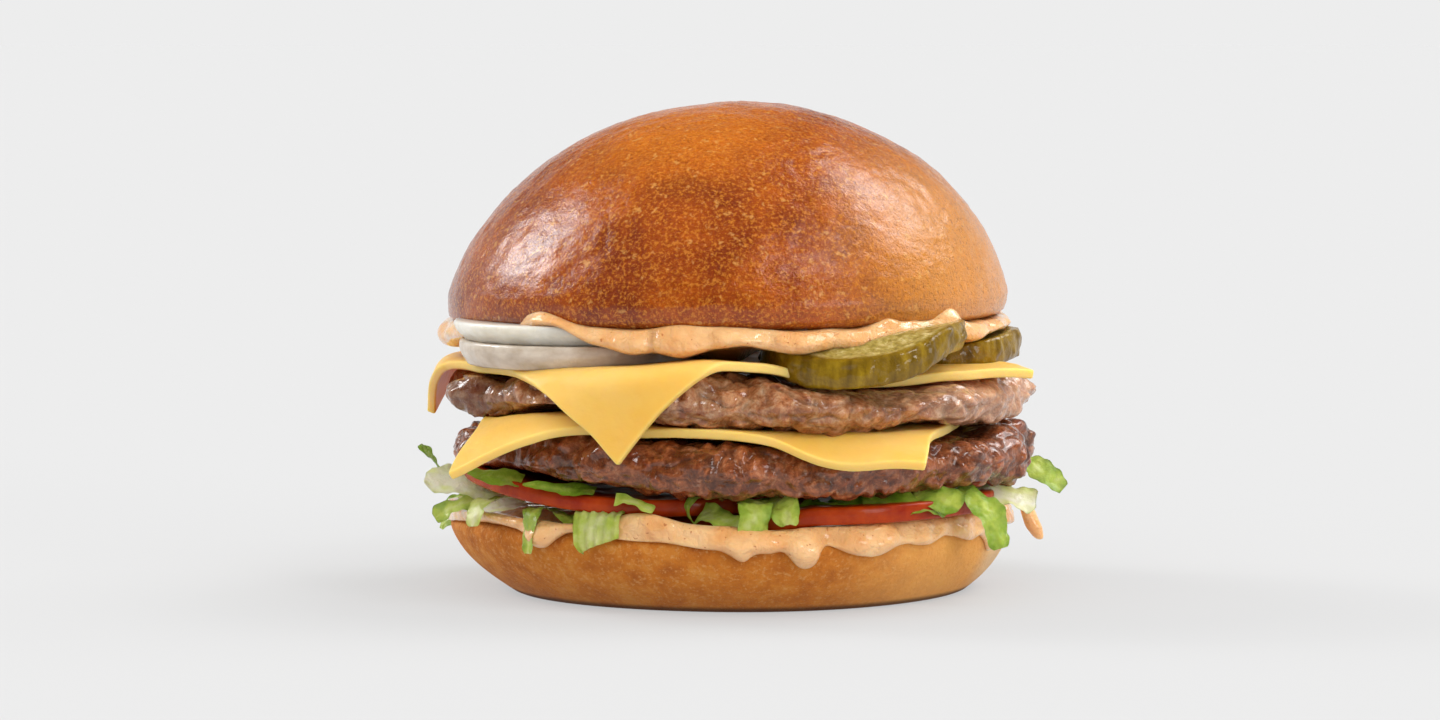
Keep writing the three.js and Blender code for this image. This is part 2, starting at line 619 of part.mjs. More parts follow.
// Shreds of leaf. Each starts under the filling and runs along heading, swinging sideways by swing.
// Its slope goes from pitch to pitch + fall (downwards) over the bend share of its length, and it is
// rolled about its own length by roll to roll + curl. tip narrows its end and wave ruffles its edges.
const SHREDS = [
  { start: [-45.5, -13, 20.4], heading: 180, long: 13, wide: 4.5, pitch: -10, fall: -50, roll: -30, curl: 30, wave: 0.7 },
  { start: [-40, -18, 20.2], heading: 178, long: 15, wide: 8, pitch: -4, fall: -6, roll: -28, curl: -10, wave: 0.5 },
  { start: [-41.5, -20, 18.2], heading: 181, long: 12.4, wide: 4.8, pitch: 0, fall: 34, roll: -18, curl: -30, wave: 0.7 },
  { start: [-36.5, -36.6, 23], heading: 168, long: 10, wide: 4.4, pitch: -8, fall: 0, roll: -34, curl: 6, wave: 0.4 },
  { start: [-41.5, -25, 18.4], heading: -140, long: 10, wide: 4.6, pitch: -12, fall: 80, swing: 46, roll: 0, curl: 26, wave: 0.4 },
  { start: [-36, -30, 18.5], heading: 200, long: 8, wide: 4, pitch: 0, fall: 16, roll: -22, wave: 0.2 },
  { start: [-32.4, -35.4, 18.4], heading: -122, long: 12.2, wide: 4.6, pitch: 0, fall: 84, bend: [0.15, 0.6], roll: 6, curl: 24, tip: 0.4, wave: 0.3 },
  { start: [-33, -36.5, 18.2], heading: -52, long: 12, wide: 3.4, pitch: 0, fall: 52, swing: 30, roll: -14, curl: 40, wave: 0.3 },
  { start: [-20.4, -40.4, 18.6], heading: -112, long: 14, wide: 9, pitch: 0, fall: 84, bend: [0.3, 0.66], roll: 0, curl: 2, tip: 0.05, wave: 0.2 },
  { start: [-23.4, -43.8, 21.9], heading: 171, long: 13, wide: 4, pitch: -3, fall: -4, roll: -22, curl: -8, tip: 0.8, wave: 0.2 },
  { start: [-19.8, -48.6, 20.9], heading: -6, long: 7.2, wide: 3, pitch: 4, fall: 22, roll: 24, curl: 12, wave: 0.4 },
  { start: [-2.6, -46, 21.2], heading: -150, long: 14, wide: 3.4, pitch: -6, fall: 150, bend: [0.1, 0.75], roll: 0, curl: 20, wave: 0.2 },
  { start: [-5, -46.5, 18.3], heading: -32, long: 9.5, wide: 5, pitch: 4, fall: 30, roll: 30, curl: 10, wave: 0.6 },
  { start: [5.2, -41.5, 20.3], heading: -94, long: 17, wide: 6.4, pitch: -2, fall: 84, bend: [0.35, 0.72], roll: 0, curl: -24, wave: 0.9 },
  { start: [8.2, -41, 20.6], heading: -80, long: 13, wide: 6, pitch: -4, fall: 62, bend: [0.4, 0.8], roll: 8, curl: 30, wave: 0.8 },
  { start: [25, -41.6, 20], heading: 190, long: 12.5, wide: 5, pitch: 2, fall: 6, roll: -24, curl: 12, wave: 0.5 },
  { start: [23.5, -42.6, 19.9], heading: 12, long: 16, wide: 6.6, pitch: 2, fall: 8, swing: 10, roll: 24, curl: 10, tip: 0.4, wave: 0.6 },
  { start: [32.6, -36.5, 20.8], heading: -22, long: 9.5, wide: 6.6, pitch: 2, fall: 22, roll: 30, curl: 12, wave: 0.4 },
  { start: [40.3, -31, 20.6], heading: -38, long: 15.5, wide: 6, pitch: 6, fall: 64, bend: [0.05, 0.8], roll: 12, curl: 16, wave: 0.6 },
  { start: [39.5, -21.5, 20], heading: 5, long: 16.5, wide: 9, pitch: 2, fall: 12, roll: 24, curl: 8, wave: 0.8 },
  { start: [44, 14, 20.3], heading: -9, long: 21.5, wide: 4.2, pitch: -20, fall: 60, bend: [0.2, 0.8], roll: 10, curl: 50, tip: -0.3, wave: 0.8 },
  ...[14, 28, 42, 55, 68, 81, 94, 107, 120, 133, 146, 158, 169].map((angle, i) => ({
    start: [...ringPoint(angle, 43), 16.3 + 0.8 * (i % 2)],
    heading: angle + [16, -12, 4][i % 3],
    long: 14 + (i * 3) % 5,
    wide: 7.4 + (i * 5) % 3,
    pitch: 0,
    fall: [66, 16, 44, -14][i % 4],
    bend: [0.3, 0.8],
    roll: [4, -6][i % 2],
    curl: [-26, 30, 18][i % 3],
    wave: 0.8,
  })),
];

/** A point at an angle and distance from the burger's axis. */
function ringPoint(angle, radius) {
  return [radius * Math.cos(radians(angle)), radius * Math.sin(radians(angle))];
}

/** Puts a point of a flat strip, given along, across and above it, on the strip's way. */
function lay(point, shred, along, across, above) {
  const { start, heading, swing = 0, long, wide, pitch, fall, bend = [0, 1], roll, curl = 0, tip = 0.25, wave } = shred;
  const turnAt = (share) => radians(heading + swing * share);
  const slopeAt = (share) => radians(pitch + fall * smoothstep(share, ...bend));
  const steps = 10;
  const way = new THREE.Vector3(...start);
  for (let i = 0; i < steps; i++) {
    const share = ((along / long) * (i + 0.5)) / steps;
    const stride = along / steps;
    way.x += Math.cos(turnAt(share)) * Math.cos(slopeAt(share)) * stride;
    way.y += Math.sin(turnAt(share)) * Math.cos(slopeAt(share)) * stride;
    way.z -= Math.sin(slopeAt(share)) * stride;
  }
  const share = along / long;
  const [turn, slope] = [turnAt(share), slopeAt(share)];
  const rolled = radians(roll + curl * share);
  const side = new THREE.Vector3(-Math.sin(turn), Math.cos(turn), 0);
  const up = new THREE.Vector3(Math.sin(slope) * Math.cos(turn), Math.sin(slope) * Math.sin(turn), Math.cos(slope));
  const edge = (2 * across) / wide;
  const ruffle = wave * Math.sin(along * 0.8 + Math.sign(edge)) * edge ** 2;
  const out = across * (1 - tip * share ** 3);
  const lift = above + ruffle;
  point
    .copy(way)
    .addScaledVector(side, out * Math.cos(rolled) - lift * Math.sin(rolled))
    .addScaledVector(up, out * Math.sin(rolled) + lift * Math.cos(rolled));
}

function makeShred(shred, grow = 0) {
  const [long, wide, thick] = [shred.long, shred.wide, LETTUCE_THICKNESS].map((size) => size + 2 * grow);
  const geometry = new THREE.BoxGeometry(long, wide, thick, 4, 2, 1);
  return solidOf(
    reshaped(geometry, (point) => lay(point, shred, point.x + shred.long / 2, point.y, point.z)),
  );
}

// ---- The stack, from the soft pieces' neighbours up ----

const grown = {
  crown: makeCrown(GAP),
  heel: makeHeel(GAP),
  lowerPatty: makePatty(LOWER, GAP),
  upperPatty: makePatty(UPPER, GAP),
  lowerCheese: makeCheese(LOWER_CHEESE, GAP),
  upperCheese: makeCheese(UPPER_CHEESE, GAP),
  lowerOnion: makeOnion(LOWER_ONION, GAP),
  upperOnion: makeOnion(UPPER_ONION, GAP),
  frontPickle: makePickle(FRONT_PICKLE, GAP),
  sidePickle: makePickle(SIDE_PICKLE, GAP),
  leftTomato: makeTomato(LEFT_TOMATO, GAP),
  rightTomato: makeTomato(RIGHT_TOMATO, GAP),
};

const lowerPatty = fitted(makePatty(LOWER), [
  makeCheese(LOWER_CHEESE, GAP, 6),
  grown.upperCheese,
  grown.leftTomato,
  grown.rightTomato,
]);
const upperPatty = fitted(makePatty(UPPER), [
  grown.lowerCheese,
  makeCheese(UPPER_CHEESE, GAP, 6),
  grown.lowerPatty,
  grown.frontPickle,
  grown.sidePickle,
]);
const upperCheese = fitted(makeCheese(UPPER_CHEESE), [grown.lowerCheese, grown.frontPickle, grown.sidePickle, grown.lowerOnion]);
const filling = [grown.lowerOnion, grown.upperOnion, grown.frontPickle, grown.sidePickle, grown.upperCheese];
const crownSauce = fitted(makeCrownSauce(), [...filling, grown.crown], 0.2);
const heelSauce = fitted(makeHeelSauce(), [grown.leftTomato, grown.rightTomato, grown.lowerPatty], 0.2);
const rightTomato = fitted(makeTomato(RIGHT_TOMATO), [grown.leftTomato, grown.heel]);
const sidePickle = fitted(makePickle(SIDE_PICKLE), [grown.frontPickle, grown.crown]);
const upperOnion = fitted(makeOnion(UPPER_ONION), [grown.crown]);
const frontPickle = fitted(makePickle(FRONT_PICKLE), [grown.crown]);

/** Each shred gives way to what it lies among and to the shreds laid before it. */
function makeLettuce() {
  const around = [
    grown.heel,
    grown.leftTomato,
    grown.rightTomato,
    grown.lowerPatty,
    grown.lowerCheese,
    makeHeelSauce(GAP + 0.4),
  ];
  const laid = [];
  return SHREDS.map((shred) => {
    const strip = fitted(makeShred(shred), [...around, ...laid], 0.06);
    laid.push(makeShred(shred, GAP));
    return strip;
  });
}

// ---- Assembly ----

const burger = new THREE.Group();

function add(name, solid, colour, roughness) {
  const material = new THREE.MeshStandardMaterial({ color: colour, roughness, metalness: 0 });
  const mesh = new THREE.Mesh(geometryOf(solid), material);
  mesh.name = name;
  burger.add(mesh);
}

add("bun_heel", makeHeel(), COLOURS.heel, 0.7);
add("sauce_lower", heelSauce, COLOURS.sauce, 0.25);
add("sauce_drip", makeDrip(), COLOURS.sauce, 0.25);
add("tomato_left", makeTomato(LEFT_TOMATO), COLOURS.tomato, 0.25);
add("tomato_right", rightTomato, COLOURS.tomato, 0.25);
add("patty_lower", lowerPatty, COLOURS.patty, 0.45);
add("cheese_lower", makeCheese(LOWER_CHEESE), COLOURS.cheese, 0.35);
add("patty_upper", upperPatty, COLOURS.patty, 0.45);
add("cheese_upper", upperCheese, COLOURS.cheese, 0.35);
add("onion_lower", makeOnion(LOWER_ONION), COLOURS.onion, 0.3);
add("onion_upper", upperOnion, COLOURS.onion, 0.3);
add("pickle_front", frontPickle, COLOURS.pickle, 0.3);
add("pickle_side", sidePickle, COLOURS.pickle, 0.3);
add("sauce_upper", crownSauce, COLOURS.sauce, 0.25);
add("bun_crown", makeCrown(), COLOURS.bun, 0.35);
makeLettuce().forEach((strip, i) => {
  add(`lettuce_${String(i + 1).padStart(2, "0")}`, strip, COLOURS.lettuce, 0.4);
});

export default burger;
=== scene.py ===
# %% [markdown]
# # A double cheeseburger
#
# This lesson dresses the plain solids of a double cheeseburger with detailed food. Each piece
# starts as a simple outline or a flat sheet, is spun or thickened with bmesh operators, and then
# gets its own unevenness by moving its vertices. All sizes are in millimetres until a piece is
# finished. Angles are in degrees seen from above, and -90 is the front.

import math

import bmesh
import bpy
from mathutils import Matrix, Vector, noise
from mathutils.bvhtree import BVHTree


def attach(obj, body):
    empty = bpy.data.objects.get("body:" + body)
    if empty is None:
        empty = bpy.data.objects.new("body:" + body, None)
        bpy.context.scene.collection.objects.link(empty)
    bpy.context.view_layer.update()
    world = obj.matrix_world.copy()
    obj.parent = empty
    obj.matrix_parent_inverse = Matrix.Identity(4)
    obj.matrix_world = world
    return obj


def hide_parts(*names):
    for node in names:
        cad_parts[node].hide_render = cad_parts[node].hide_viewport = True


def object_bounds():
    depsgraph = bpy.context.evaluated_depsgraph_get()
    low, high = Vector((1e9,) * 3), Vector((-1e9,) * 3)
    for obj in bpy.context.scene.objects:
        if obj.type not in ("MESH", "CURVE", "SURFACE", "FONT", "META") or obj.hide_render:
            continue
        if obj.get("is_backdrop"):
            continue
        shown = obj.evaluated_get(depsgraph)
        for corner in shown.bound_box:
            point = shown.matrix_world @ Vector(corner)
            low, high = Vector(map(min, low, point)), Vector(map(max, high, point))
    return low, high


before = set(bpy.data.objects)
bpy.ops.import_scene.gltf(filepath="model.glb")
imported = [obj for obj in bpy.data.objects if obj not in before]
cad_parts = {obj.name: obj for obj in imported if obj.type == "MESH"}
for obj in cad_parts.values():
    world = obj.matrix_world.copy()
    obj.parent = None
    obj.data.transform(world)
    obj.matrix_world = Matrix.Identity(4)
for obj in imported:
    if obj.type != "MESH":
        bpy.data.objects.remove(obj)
solid_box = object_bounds()
print("solids to dress:", len(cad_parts))
print("size in mm:", [round((high - low) * 1000, 1) for low, high in zip(*solid_box)])

# %% [markdown]
# ## Small sums for uneven food
#
# Food is never perfectly round. A few sums describe its unevenness: a nearness picks out a
# stretch of a rim, ripples are waves all the way round, and a grain is a soft random number that
# changes from place to place.


# %% Sums for ripples and grain
def between(low, high, value):
    """0 up to low, 1 from high on, with a soft change between them."""
    share = min(1, max(0, (value - low) / (high - low)))
    return share * share * (3 - 2 * share)


def nearness(angle, at, spread):
    """1 at an angle's own lobe, falling to 0 within about two spreads on either side."""
    turn = (angle - at + 540) % 360 - 180
    return math.exp(-((turn / spread) ** 2))


def rippled(waves, angle):
    """A wavy number round the rim, from (height, count, phase) waves."""
    return sum(height * math.sin(math.radians(count * angle) + phase) for height, count, phase in waves)


def grain(place, size, seed=0.0):
    """A soft random number between -1 and 1, in blotches of about this size."""
    return noise.noise(place / size + Vector((seed, -seed, seed * 0.7)))


print("a lobe one spread away keeps", round(nearness(10, 0, 10), 2), "of its height")

# %% [markdown]
# ## Spinning an outline
#
# A bun, a patty or a slice of tomato is a round thing, so its half outline is spun about the
# upright axis. Spinning in many steps is slow, so the spin is coarse, and the edges that run
# round are then split and rounded back onto their circles.


# %% Helpers that spin
def turn_of(vert):
    return math.atan2(vert.co.y, vert.co.x)


def runs_round(edge, step):
    """Whether an edge runs round the axis, from one step of the spin to the next."""
    first, second = edge.verts
    if min(first.co.xy.length, second.co.xy.length) < 1e-4:
        return False
    return abs((turn_of(first) - turn_of(second) + math.pi) % math.tau - math.pi) > step / 2


def widen(point, factor):
    point.x *= factor
    point.y *= factor


def spun(outline, splits, steps=60):
    """A closed round shape from (distance from the axis, height) points, steps * (splits + 1) round."""
    shape = bmesh.new()
    points = [shape.verts.new((distance, 0, height)) for distance, height in outline]
    edges = [shape.edges.new(pair) for pair in zip(points, points[1:])]
    bmesh.ops.spin(
        shape,
        geom=points + edges,
        cent=(0, 0, 0),
        axis=(0, 0, 1),
        dvec=(0, 0, 0),
        angle=math.tau,
        steps=steps,
        use_merge=True,
    )
    bmesh.ops.remove_doubles(shape, verts=shape.verts, dist=1e-5)
    step = math.tau / steps
    round_edges = [edge for edge in shape.edges if runs_round(edge, step)]
    bmesh.ops.subdivide_edges(shape, edges=round_edges, cuts=splits)
    for vert in shape.verts:
        from_middle = turn_of(vert) % step - step / 2
        widen(vert.co, math.cos(from_middle) / math.cos(step / 2))
    bmesh.ops.recalc_face_normals(shape, faces=shape.faces)
    return shape


DRUM = [(0, 0), (5, 0), (5, 5), (0, 5)]
trial = spun(DRUM, 1)
print("a spun trial drum has", len(trial.faces), "faces")
trial.free()

# %% [markdown]
# ## Uneven shapes and finished pieces
#
# After the spin each point is moved a little, which is how the outline stops being a perfect
# circle. A move may also keep a number on each point, a mark that a finish can read later. A
# finished piece is turned into metres and takes the place of its solid.


# %% Helpers that shape and finish
def shaped(shape, move, mark=None):
    """Moves each point by move(point, distance from the axis, angle), and may keep its result as a mark."""
    marks = shape.verts.layers.float.new(mark) if mark else None
    for vert in shape.verts:
        distance = math.hypot(vert.co.x, vert.co.y)
        angle = math.degrees(math.atan2(vert.co.y, vert.co.x)) if distance > 1e-3 else 0
        result = move(vert.co, distance, angle)
        if mark:
            vert[marks] = result
    return shape


def finished(name, shape, look, slot, *nodes):
    """The shape as a smooth object in metres, in place of its solid."""
    bmesh.ops.scale(shape, vec=(0.001, 0.001, 0.001), verts=shape.verts)
    for face in shape.faces:
        face.smooth = True
    mesh = bpy.data.meshes.new(name)
    shape.to_mesh(mesh)
    shape.free()
    mesh.materials.append(look)
    piece = bpy.data.objects.new(name, mesh)
    bpy.context.scene.collection.objects.link(piece)
    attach(piece, "root")
    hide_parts(*nodes)
    print(name, "has", len(mesh.polygons), "faces")


trial = shaped(spun(DRUM, 1), lambda point, distance, angle: widen(point, 2))
print("a trial drum, widened, reaches", round(max(vert.co.x for vert in trial.verts)), "mm")
trial.free()

# %% [markdown]
# ## Ingredients of a finish
#
# A finish starts from a main shader with constant settings, and from soft spots of noise that
# drive its colour. The spots read the object's own coordinates, so a spot is the same size in
# millimetres on every piece.


# %% Helpers for shaders and spots
def colour(text):
    """A screen colour such as #b5651f as the linear colour that a shader wants."""
    parts = [int(text[i : i + 2], 16) / 255 for i in (1, 3, 5)]
    return [p / 12.92 if p <= 0.04045 else ((p + 0.055) / 1.055) ** 2.4 for p in parts] + [1]


def new_look(name, **settings):
    """A material whose main shader has these constant settings."""
    look = bpy.data.materials.new(name)
    look.use_nodes = True
    for setting, value in settings.items():
        look.node_tree.nodes["Principled BSDF"].inputs[setting.replace("_", " ")].default_value = value
    return look


def feed(look, value, socket):
    """Gives a socket either another node's result or a plain value."""
    if isinstance(value, bpy.types.NodeSocket):
        look.node_tree.links.new(value, socket)
    else:
        socket.default_value = value


def feed_main(look, **values):
    for socket, value in values.items():
        feed(look, value, look.node_tree.nodes["Principled BSDF"].inputs[socket.replace("_", " ")])


def own_place(look, stretch=(1, 1, 1)):
    """Coordinates of the object itself in millimetres, each divided by its stretch."""
    place = look.node_tree.nodes.new("ShaderNodeTexCoord")
    scaled = look.node_tree.nodes.new("ShaderNodeMapping")
    scaled.inputs["Scale"].default_value = [1000 / s for s in stretch]
    feed(look, place.outputs["Object"], scaled.inputs["Vector"])
    return scaled.outputs["Vector"]


def spots(look, size, detail=3, roughness=0.55, warp=0, stretch=(1, 1, 1)):
    """Soft spots of about this many millimetres, from 0 to 1."""
    node = look.node_tree.nodes.new("ShaderNodeTexNoise")
    node.inputs["Scale"].default_value = 1 / size
    node.inputs["Detail"].default_value = detail
    node.inputs["Roughness"].default_value = roughness
    node.inputs["Distortion"].default_value = warp
    feed(look, own_place(look, stretch), node.inputs["Vector"])
    return node.outputs[0]


print("a screen grey of #808080 is", round(colour("#808080")[0], 3), "in linear light")

# %% [markdown]
# ## Mixing a finish
#
# Zones say where a finish changes, a ramp turns a number into a colour, a tint lays one colour
# over another as far as a share says, and relief tilts the surface and its clear coat.


# %% Helpers for zones, colours and relief
def sums(look, operation, first, second):
    node = look.node_tree.nodes.new("ShaderNodeMath")
    node.operation = operation
    feed(look, first, node.inputs[0])
    feed(look, second, node.inputs[1])
    return node.outputs[0]


def spread(look, value, low, high, start=0.0, end=1.0):
    """A value between low and high spread over start to end, and held there beyond them."""
    node = look.node_tree.nodes.new("ShaderNodeMapRange")
    node.interpolation_type = "SMOOTHSTEP"
    feed(look, value, node.inputs["Value"])
    for name, number in zip(("From Min", "From Max", "To Min", "To Max"), (low, high, start, end)):
        node.inputs[name].default_value = number
    return node.outputs["Result"]


def zone(look, centre, inner, outer, stretch=(1, 1, 1)):
    """1 within inner millimetres of a place, falling to 0 at outer."""
    away = look.node_tree.nodes.new("ShaderNodeVectorMath")
    away.operation = "DISTANCE"
    feed(look, own_place(look, stretch), away.inputs[0])
    away.inputs[1].default_value = [c / s for c, s in zip(centre, stretch)]
    return spread(look, away.outputs["Value"], inner, outer, 1, 0)


def painted(look, value, *stops):
    """A number turned into a colour, by stops of (number, colour)."""
    ramp = look.node_tree.nodes.new("ShaderNodeValToRGB")
    bar = ramp.color_ramp
    while len(bar.elements) < len(stops):
        bar.elements.new(0.5)
    for element, (position, shade) in zip(bar.elements, stops):
        element.position = position
        element.color = colour(shade)
    feed(look, value, ramp.inputs[0])
    return ramp.outputs["Color"]


def mixed(look, share, first, second):
    """Two colours mixed by a share of the second one."""
    node = look.node_tree.nodes.new("ShaderNodeMix")
    node.data_type = "RGBA"
    feed(look, share, node.inputs[0])
    feed(look, first, node.inputs[6])
    feed(look, second, node.inputs[7])
    return node.outputs[2]


def tinted(look, base, tint, share, strength=1):
    """A colour with a tint over it, as far as a share times a strength says."""
    if strength != 1:
        share = sums(look, "MULTIPLY", share, strength)
    return mixed(look, share, base, colour(tint))


def relief(look, height, depth, coat_depth=0):
    """Tilts the surface, and its clear coat, as if they had relief of this depth in millimetres."""
    for socket, deep in (("Normal", depth), ("Coat_Normal", coat_depth)):
        if deep:
            node = look.node_tree.nodes.new("ShaderNodeBump")
            node.inputs["Distance"].default_value = deep / 1000
            feed(look, height, node.inputs["Height"])
            feed_main(look, **{socket: node.outputs["Normal"]})


trial_look = new_look("trial look")
tinted(trial_look, colour("#808080"), "#ffffff", zone(trial_look, (0, 0, 0), 1, 2), 0.5)
print("a tint inside a zone takes", len(trial_look.node_tree.nodes) - 2, "nodes")
bpy.data.materials.remove(trial_look)

# %% [markdown]
# ## The crown of the bun
#
# The crown is a dome of enriched dough, baked until its egg glaze turned amber. It tucks in a
# little below its widest ring. Soft dents and a fine pebbled skin are real relief, because a
# glaze shows every dent in its reflections.

# %% Shape of the crown
BUN_RADIUS = 51.6
CROWN_BASE = 50.3
CROWN_TOP = 89.3
CROWN_WIDEST = 54.5  # the height at which the crown is as wide as the bun
CROWN_TUCK = 0.055  # how strongly its rim tucks in below that height
SHOULDER, TOP_ROUNDNESS = 1.36, 0.34  # a larger shoulder is fuller; 2 would be a true ellipse


def crown_radius(height):
    if height < CROWN_WIDEST:
        return BUN_RADIUS - CROWN_TUCK * (CROWN_WIDEST - height) ** 2
    rise = min(1, (height - CROWN_WIDEST) / (CROWN_TOP - CROWN_WIDEST))
    return BUN_RADIUS * math.sqrt(1 - rise ** (SHOULDER + TOP_ROUNDNESS * rise))


def crown_unevenness(angle):
    return 1 + rippled([(0.007, 3, 0.6), (0.004, 7, 2.1)], angle)


def crown_lean(height):
    """The top of the dome sits a little to the right of its rim."""
    return -0.6 + 2.3 * (height - 52) / 36


def crown_sag(angle):
    """The left side of the rim hangs lower."""
    return 1.2 * nearness(angle, 180, 26)


def shape_crown(point, distance, angle):
    widen(point, crown_unevenness(angle))
    lean = crown_lean(point.z)
    point.z -= crown_sag(angle) * between(38, 48, distance) * between(60, 51, point.z)
    point.z -= 0.5 * between(46, 49.5, distance) * between(53, 50.5, point.z) * nearness(angle, -143, 28)
    outward = Vector((point.x, point.y, (point.z - 44) * 1.6)).normalized()
    skin = between(CROWN_BASE, CROWN_BASE + 2.5, point.z)
    dents = 0.42 * grain(point, 17, 3.1) + 0.16 * grain(point, 6.5, 8.2) + 0.09 * grain(point, 2.9, 1.4)
    pebbles = 0.09 * grain(point, 1.7, 5.5) + 0.04 * grain(point, 0.9, 2.7)
    point += outward * (dents + pebbles) * skin
    point.x += lean


rise_steps = [math.sin(math.radians(k * 0.72)) for k in range(1, 125)]
crown_side = [CROWN_WIDEST + (CROWN_TOP - CROWN_WIDEST) * step for step in rise_steps]
crown_outline = (
    [(distance, CROWN_BASE) for distance in (0, 20, 36, 44, 47.8)]
    + [(49.2, CROWN_BASE + 0.15), (50.1, CROWN_BASE + 0.55)]
    + [(crown_radius(height), height) for height in (51.5, 52.1, 52.7, 53.3, 53.9, 54.5)]
    + [(crown_radius(height), height) for height in crown_side]
    + [(0, CROWN_TOP)]
)
crown_shape = shaped(spun(crown_outline, 6), shape_crown)
print("the crown's outline has", len(crown_outline), "points")

# %% [markdown]
# ## Glazed crust
#
# Egg glaze bakes to a mottled amber: paler blisters the size of pinheads, darker where the oven
# was hottest. A thin clear coat over a slightly rough skin gives the broken, greasy highlight.
# The right shoulder is painted paler, as painted light, and the top a brighter orange, as a
# painted glow.

# %% Finish of the crown
crust = new_look(
    "glazed amber crust",
    Roughness=0.5,
    Specular_IOR_Level=0.06,
    Coat_Weight=0.85,
    Coat_Roughness=0.15,
    Subsurface_Weight=0.03,
    Subsurface_Radius=(0.004, 0.0016, 0.0006),
    Subsurface_Scale=0.5,
)
blotches = spots(crust, 10, detail=4, roughness=0.55)
baked = painted(crust, blotches, (0.32, "#863000"), (0.5, "#a24300"), (0.7, "#be5700"))
# painted light: the right shoulder is painted paler, where the light falls on it
paler = zone(crust, (50, -24, 58), 12, 46)
baked = tinted(crust, baked, "#ea9e48", paler, 0.8)
# painted glow: the top of the dome is painted a brighter orange, as if lit
glow = zone(crust, (-8, -20, 88), 6, 30)
baked = tinted(crust, baked, "#e67e08", glow, 0.6)
grains = spots(crust, 0.62, detail=3, roughness=0.7)
baked = tinted(crust, baked, "#e08c28", spread(crust, grains, 0.47, 0.66, 0, 0.7))
baked = tinted(crust, baked, "#783202", spread(crust, grains, 0.45, 0.3, 0, 0.55))
blisters = spread(crust, spots(crust, 1.7, detail=2, roughness=0.6), 0.6, 0.72)
baked = tinted(crust, baked, "#e8a854", blisters, 0.6)
feed_main(crust, Base_Color=baked)
skin_relief = sums(
    crust,
    "ADD",
    spots(crust, 1.3, detail=5, roughness=0.68, warp=0.4),
    sums(crust, "MULTIPLY", grains, 0.7),
)
relief(crust, skin_relief, 1.2, coat_depth=0.08)
finished("bun_crown_crust", crown_shape, crust, "glazed_crust", "bun_crown")

# %% [markdown]
# ## The heel of the bun
#
# The heel is the flat bottom half. Its side is full and round, it rests on a flat foot, and its
# rim rolls in to the cut face. It baked against a tray, so its crust is duller and more even.

# %% Shape of the heel
HEEL_RADIUS = 51.2
HEEL_FOOT_RADIUS = 41.6
HEEL_FULL_HEIGHT = 12  # the height at which the side is as wide as the heel
HEEL_TOP = 13  # the cut face
HEEL_RIM = 14.6  # the top of the crust round the cut face


def blend(start, end, share):
    return start + (end - start) * share


def heel_radius(height):
    below = 1 - min(1, max(0, height / HEEL_FULL_HEIGHT))
    side = blend(HEEL_RADIUS, HEEL_FOOT_RADIUS, below**1.8)
    return side - 1.1 * between(12.2, HEEL_RIM + 0.4, height)


def heel_unevenness(angle):
    return 1 + rippled([(0.006, 2, 0.4), (0.005, 5, 1.9)], angle)


def heel_lean(height):
    """The foot sits a little to the right of the rim."""
    return 2 * (1 - min(1, height / HEEL_FULL_HEIGHT))


def shape_heel(point, distance, angle):
    if distance > HEEL_FOOT_RADIUS - 1:
        widen(point, heel_unevenness(angle))
        wrinkles = 0.22 * grain(point, 13, 6.1) + 0.12 * grain(point, 5, 2.2) + 0.05 * grain(point, 2, 9.4)
        widen(point, 1 + wrinkles * between(0.3, 2.5, point.z) / HEEL_RADIUS)
    point.x += heel_lean(point.z)


side_heights = [0.25 + 0.0022 * k * k for k in range(4, 78)]
heel_outline = (
    [(0, 0), (18, 0), (30, 0), (36, 0), (HEEL_FOOT_RADIUS - 0.8, 0), (HEEL_FOOT_RADIUS, 0.12)]
    + [(heel_radius(height), height) for height in side_heights]
    + [(heel_radius(HEEL_RIM) - 0.3, HEEL_RIM - 0.1), (heel_radius(HEEL_RIM) - 1.1, HEEL_RIM)]
    + [(HEEL_RADIUS - 3.2, HEEL_TOP + 0.7), (HEEL_RADIUS - 4.2, HEEL_TOP + 0.25)]
    + [(34, HEEL_TOP), (16, HEEL_TOP), (0, HEEL_TOP)]
)
heel_shape = shaped(spun(heel_outline, 5), shape_heel)
print("the heel's side reaches", round(max(distance for distance, _ in heel_outline), 1), "mm")

# %% [markdown]
# ## Tray-baked crust
#
# No glaze reaches the heel. It is matte and golden, with a fine mottling of flour, a shade darker
# towards the foot. A thin dark band at the very foot is a painted contact shadow, and a lighter
# zone at the front right is painted light.


# %% Finish of the heel
def height_of(look):
    """How high a point is, in millimetres."""
    parts = look.node_tree.nodes.new("ShaderNodeSeparateXYZ")
    feed(look, own_place(look), parts.inputs[0])
    return parts.outputs["Z"]


tray_crust = new_look(
    "tray-baked crust",
    Roughness=0.62,
    Specular_IOR_Level=0.12,
    Subsurface_Weight=0.08,
    Subsurface_Radius=(0.004, 0.002, 0.001),
    Subsurface_Scale=0.5,
)
mottle = spots(tray_crust, 5, detail=6, roughness=0.65)
golden = painted(tray_crust, mottle, (0.32, "#ae5f22"), (0.52, "#c87628"), (0.72, "#d99240"))
flour = spread(tray_crust, spots(tray_crust, 0.8, detail=3, roughness=0.7), 0.5, 0.7)
golden = tinted(tray_crust, golden, "#dca766", flour, 0.5)
height = height_of(tray_crust)
# darker towards the foot
golden = tinted(tray_crust, golden, "#9a5c26", spread(tray_crust, height, 0, 7, 0.4, 0))
# painted light: a lighter zone on the front right of the heel, where the light falls
sunny = zone(tray_crust, (44, -32, 8), 6, 34)
golden = tinted(tray_crust, golden, "#efae5e", sunny, 0.65)
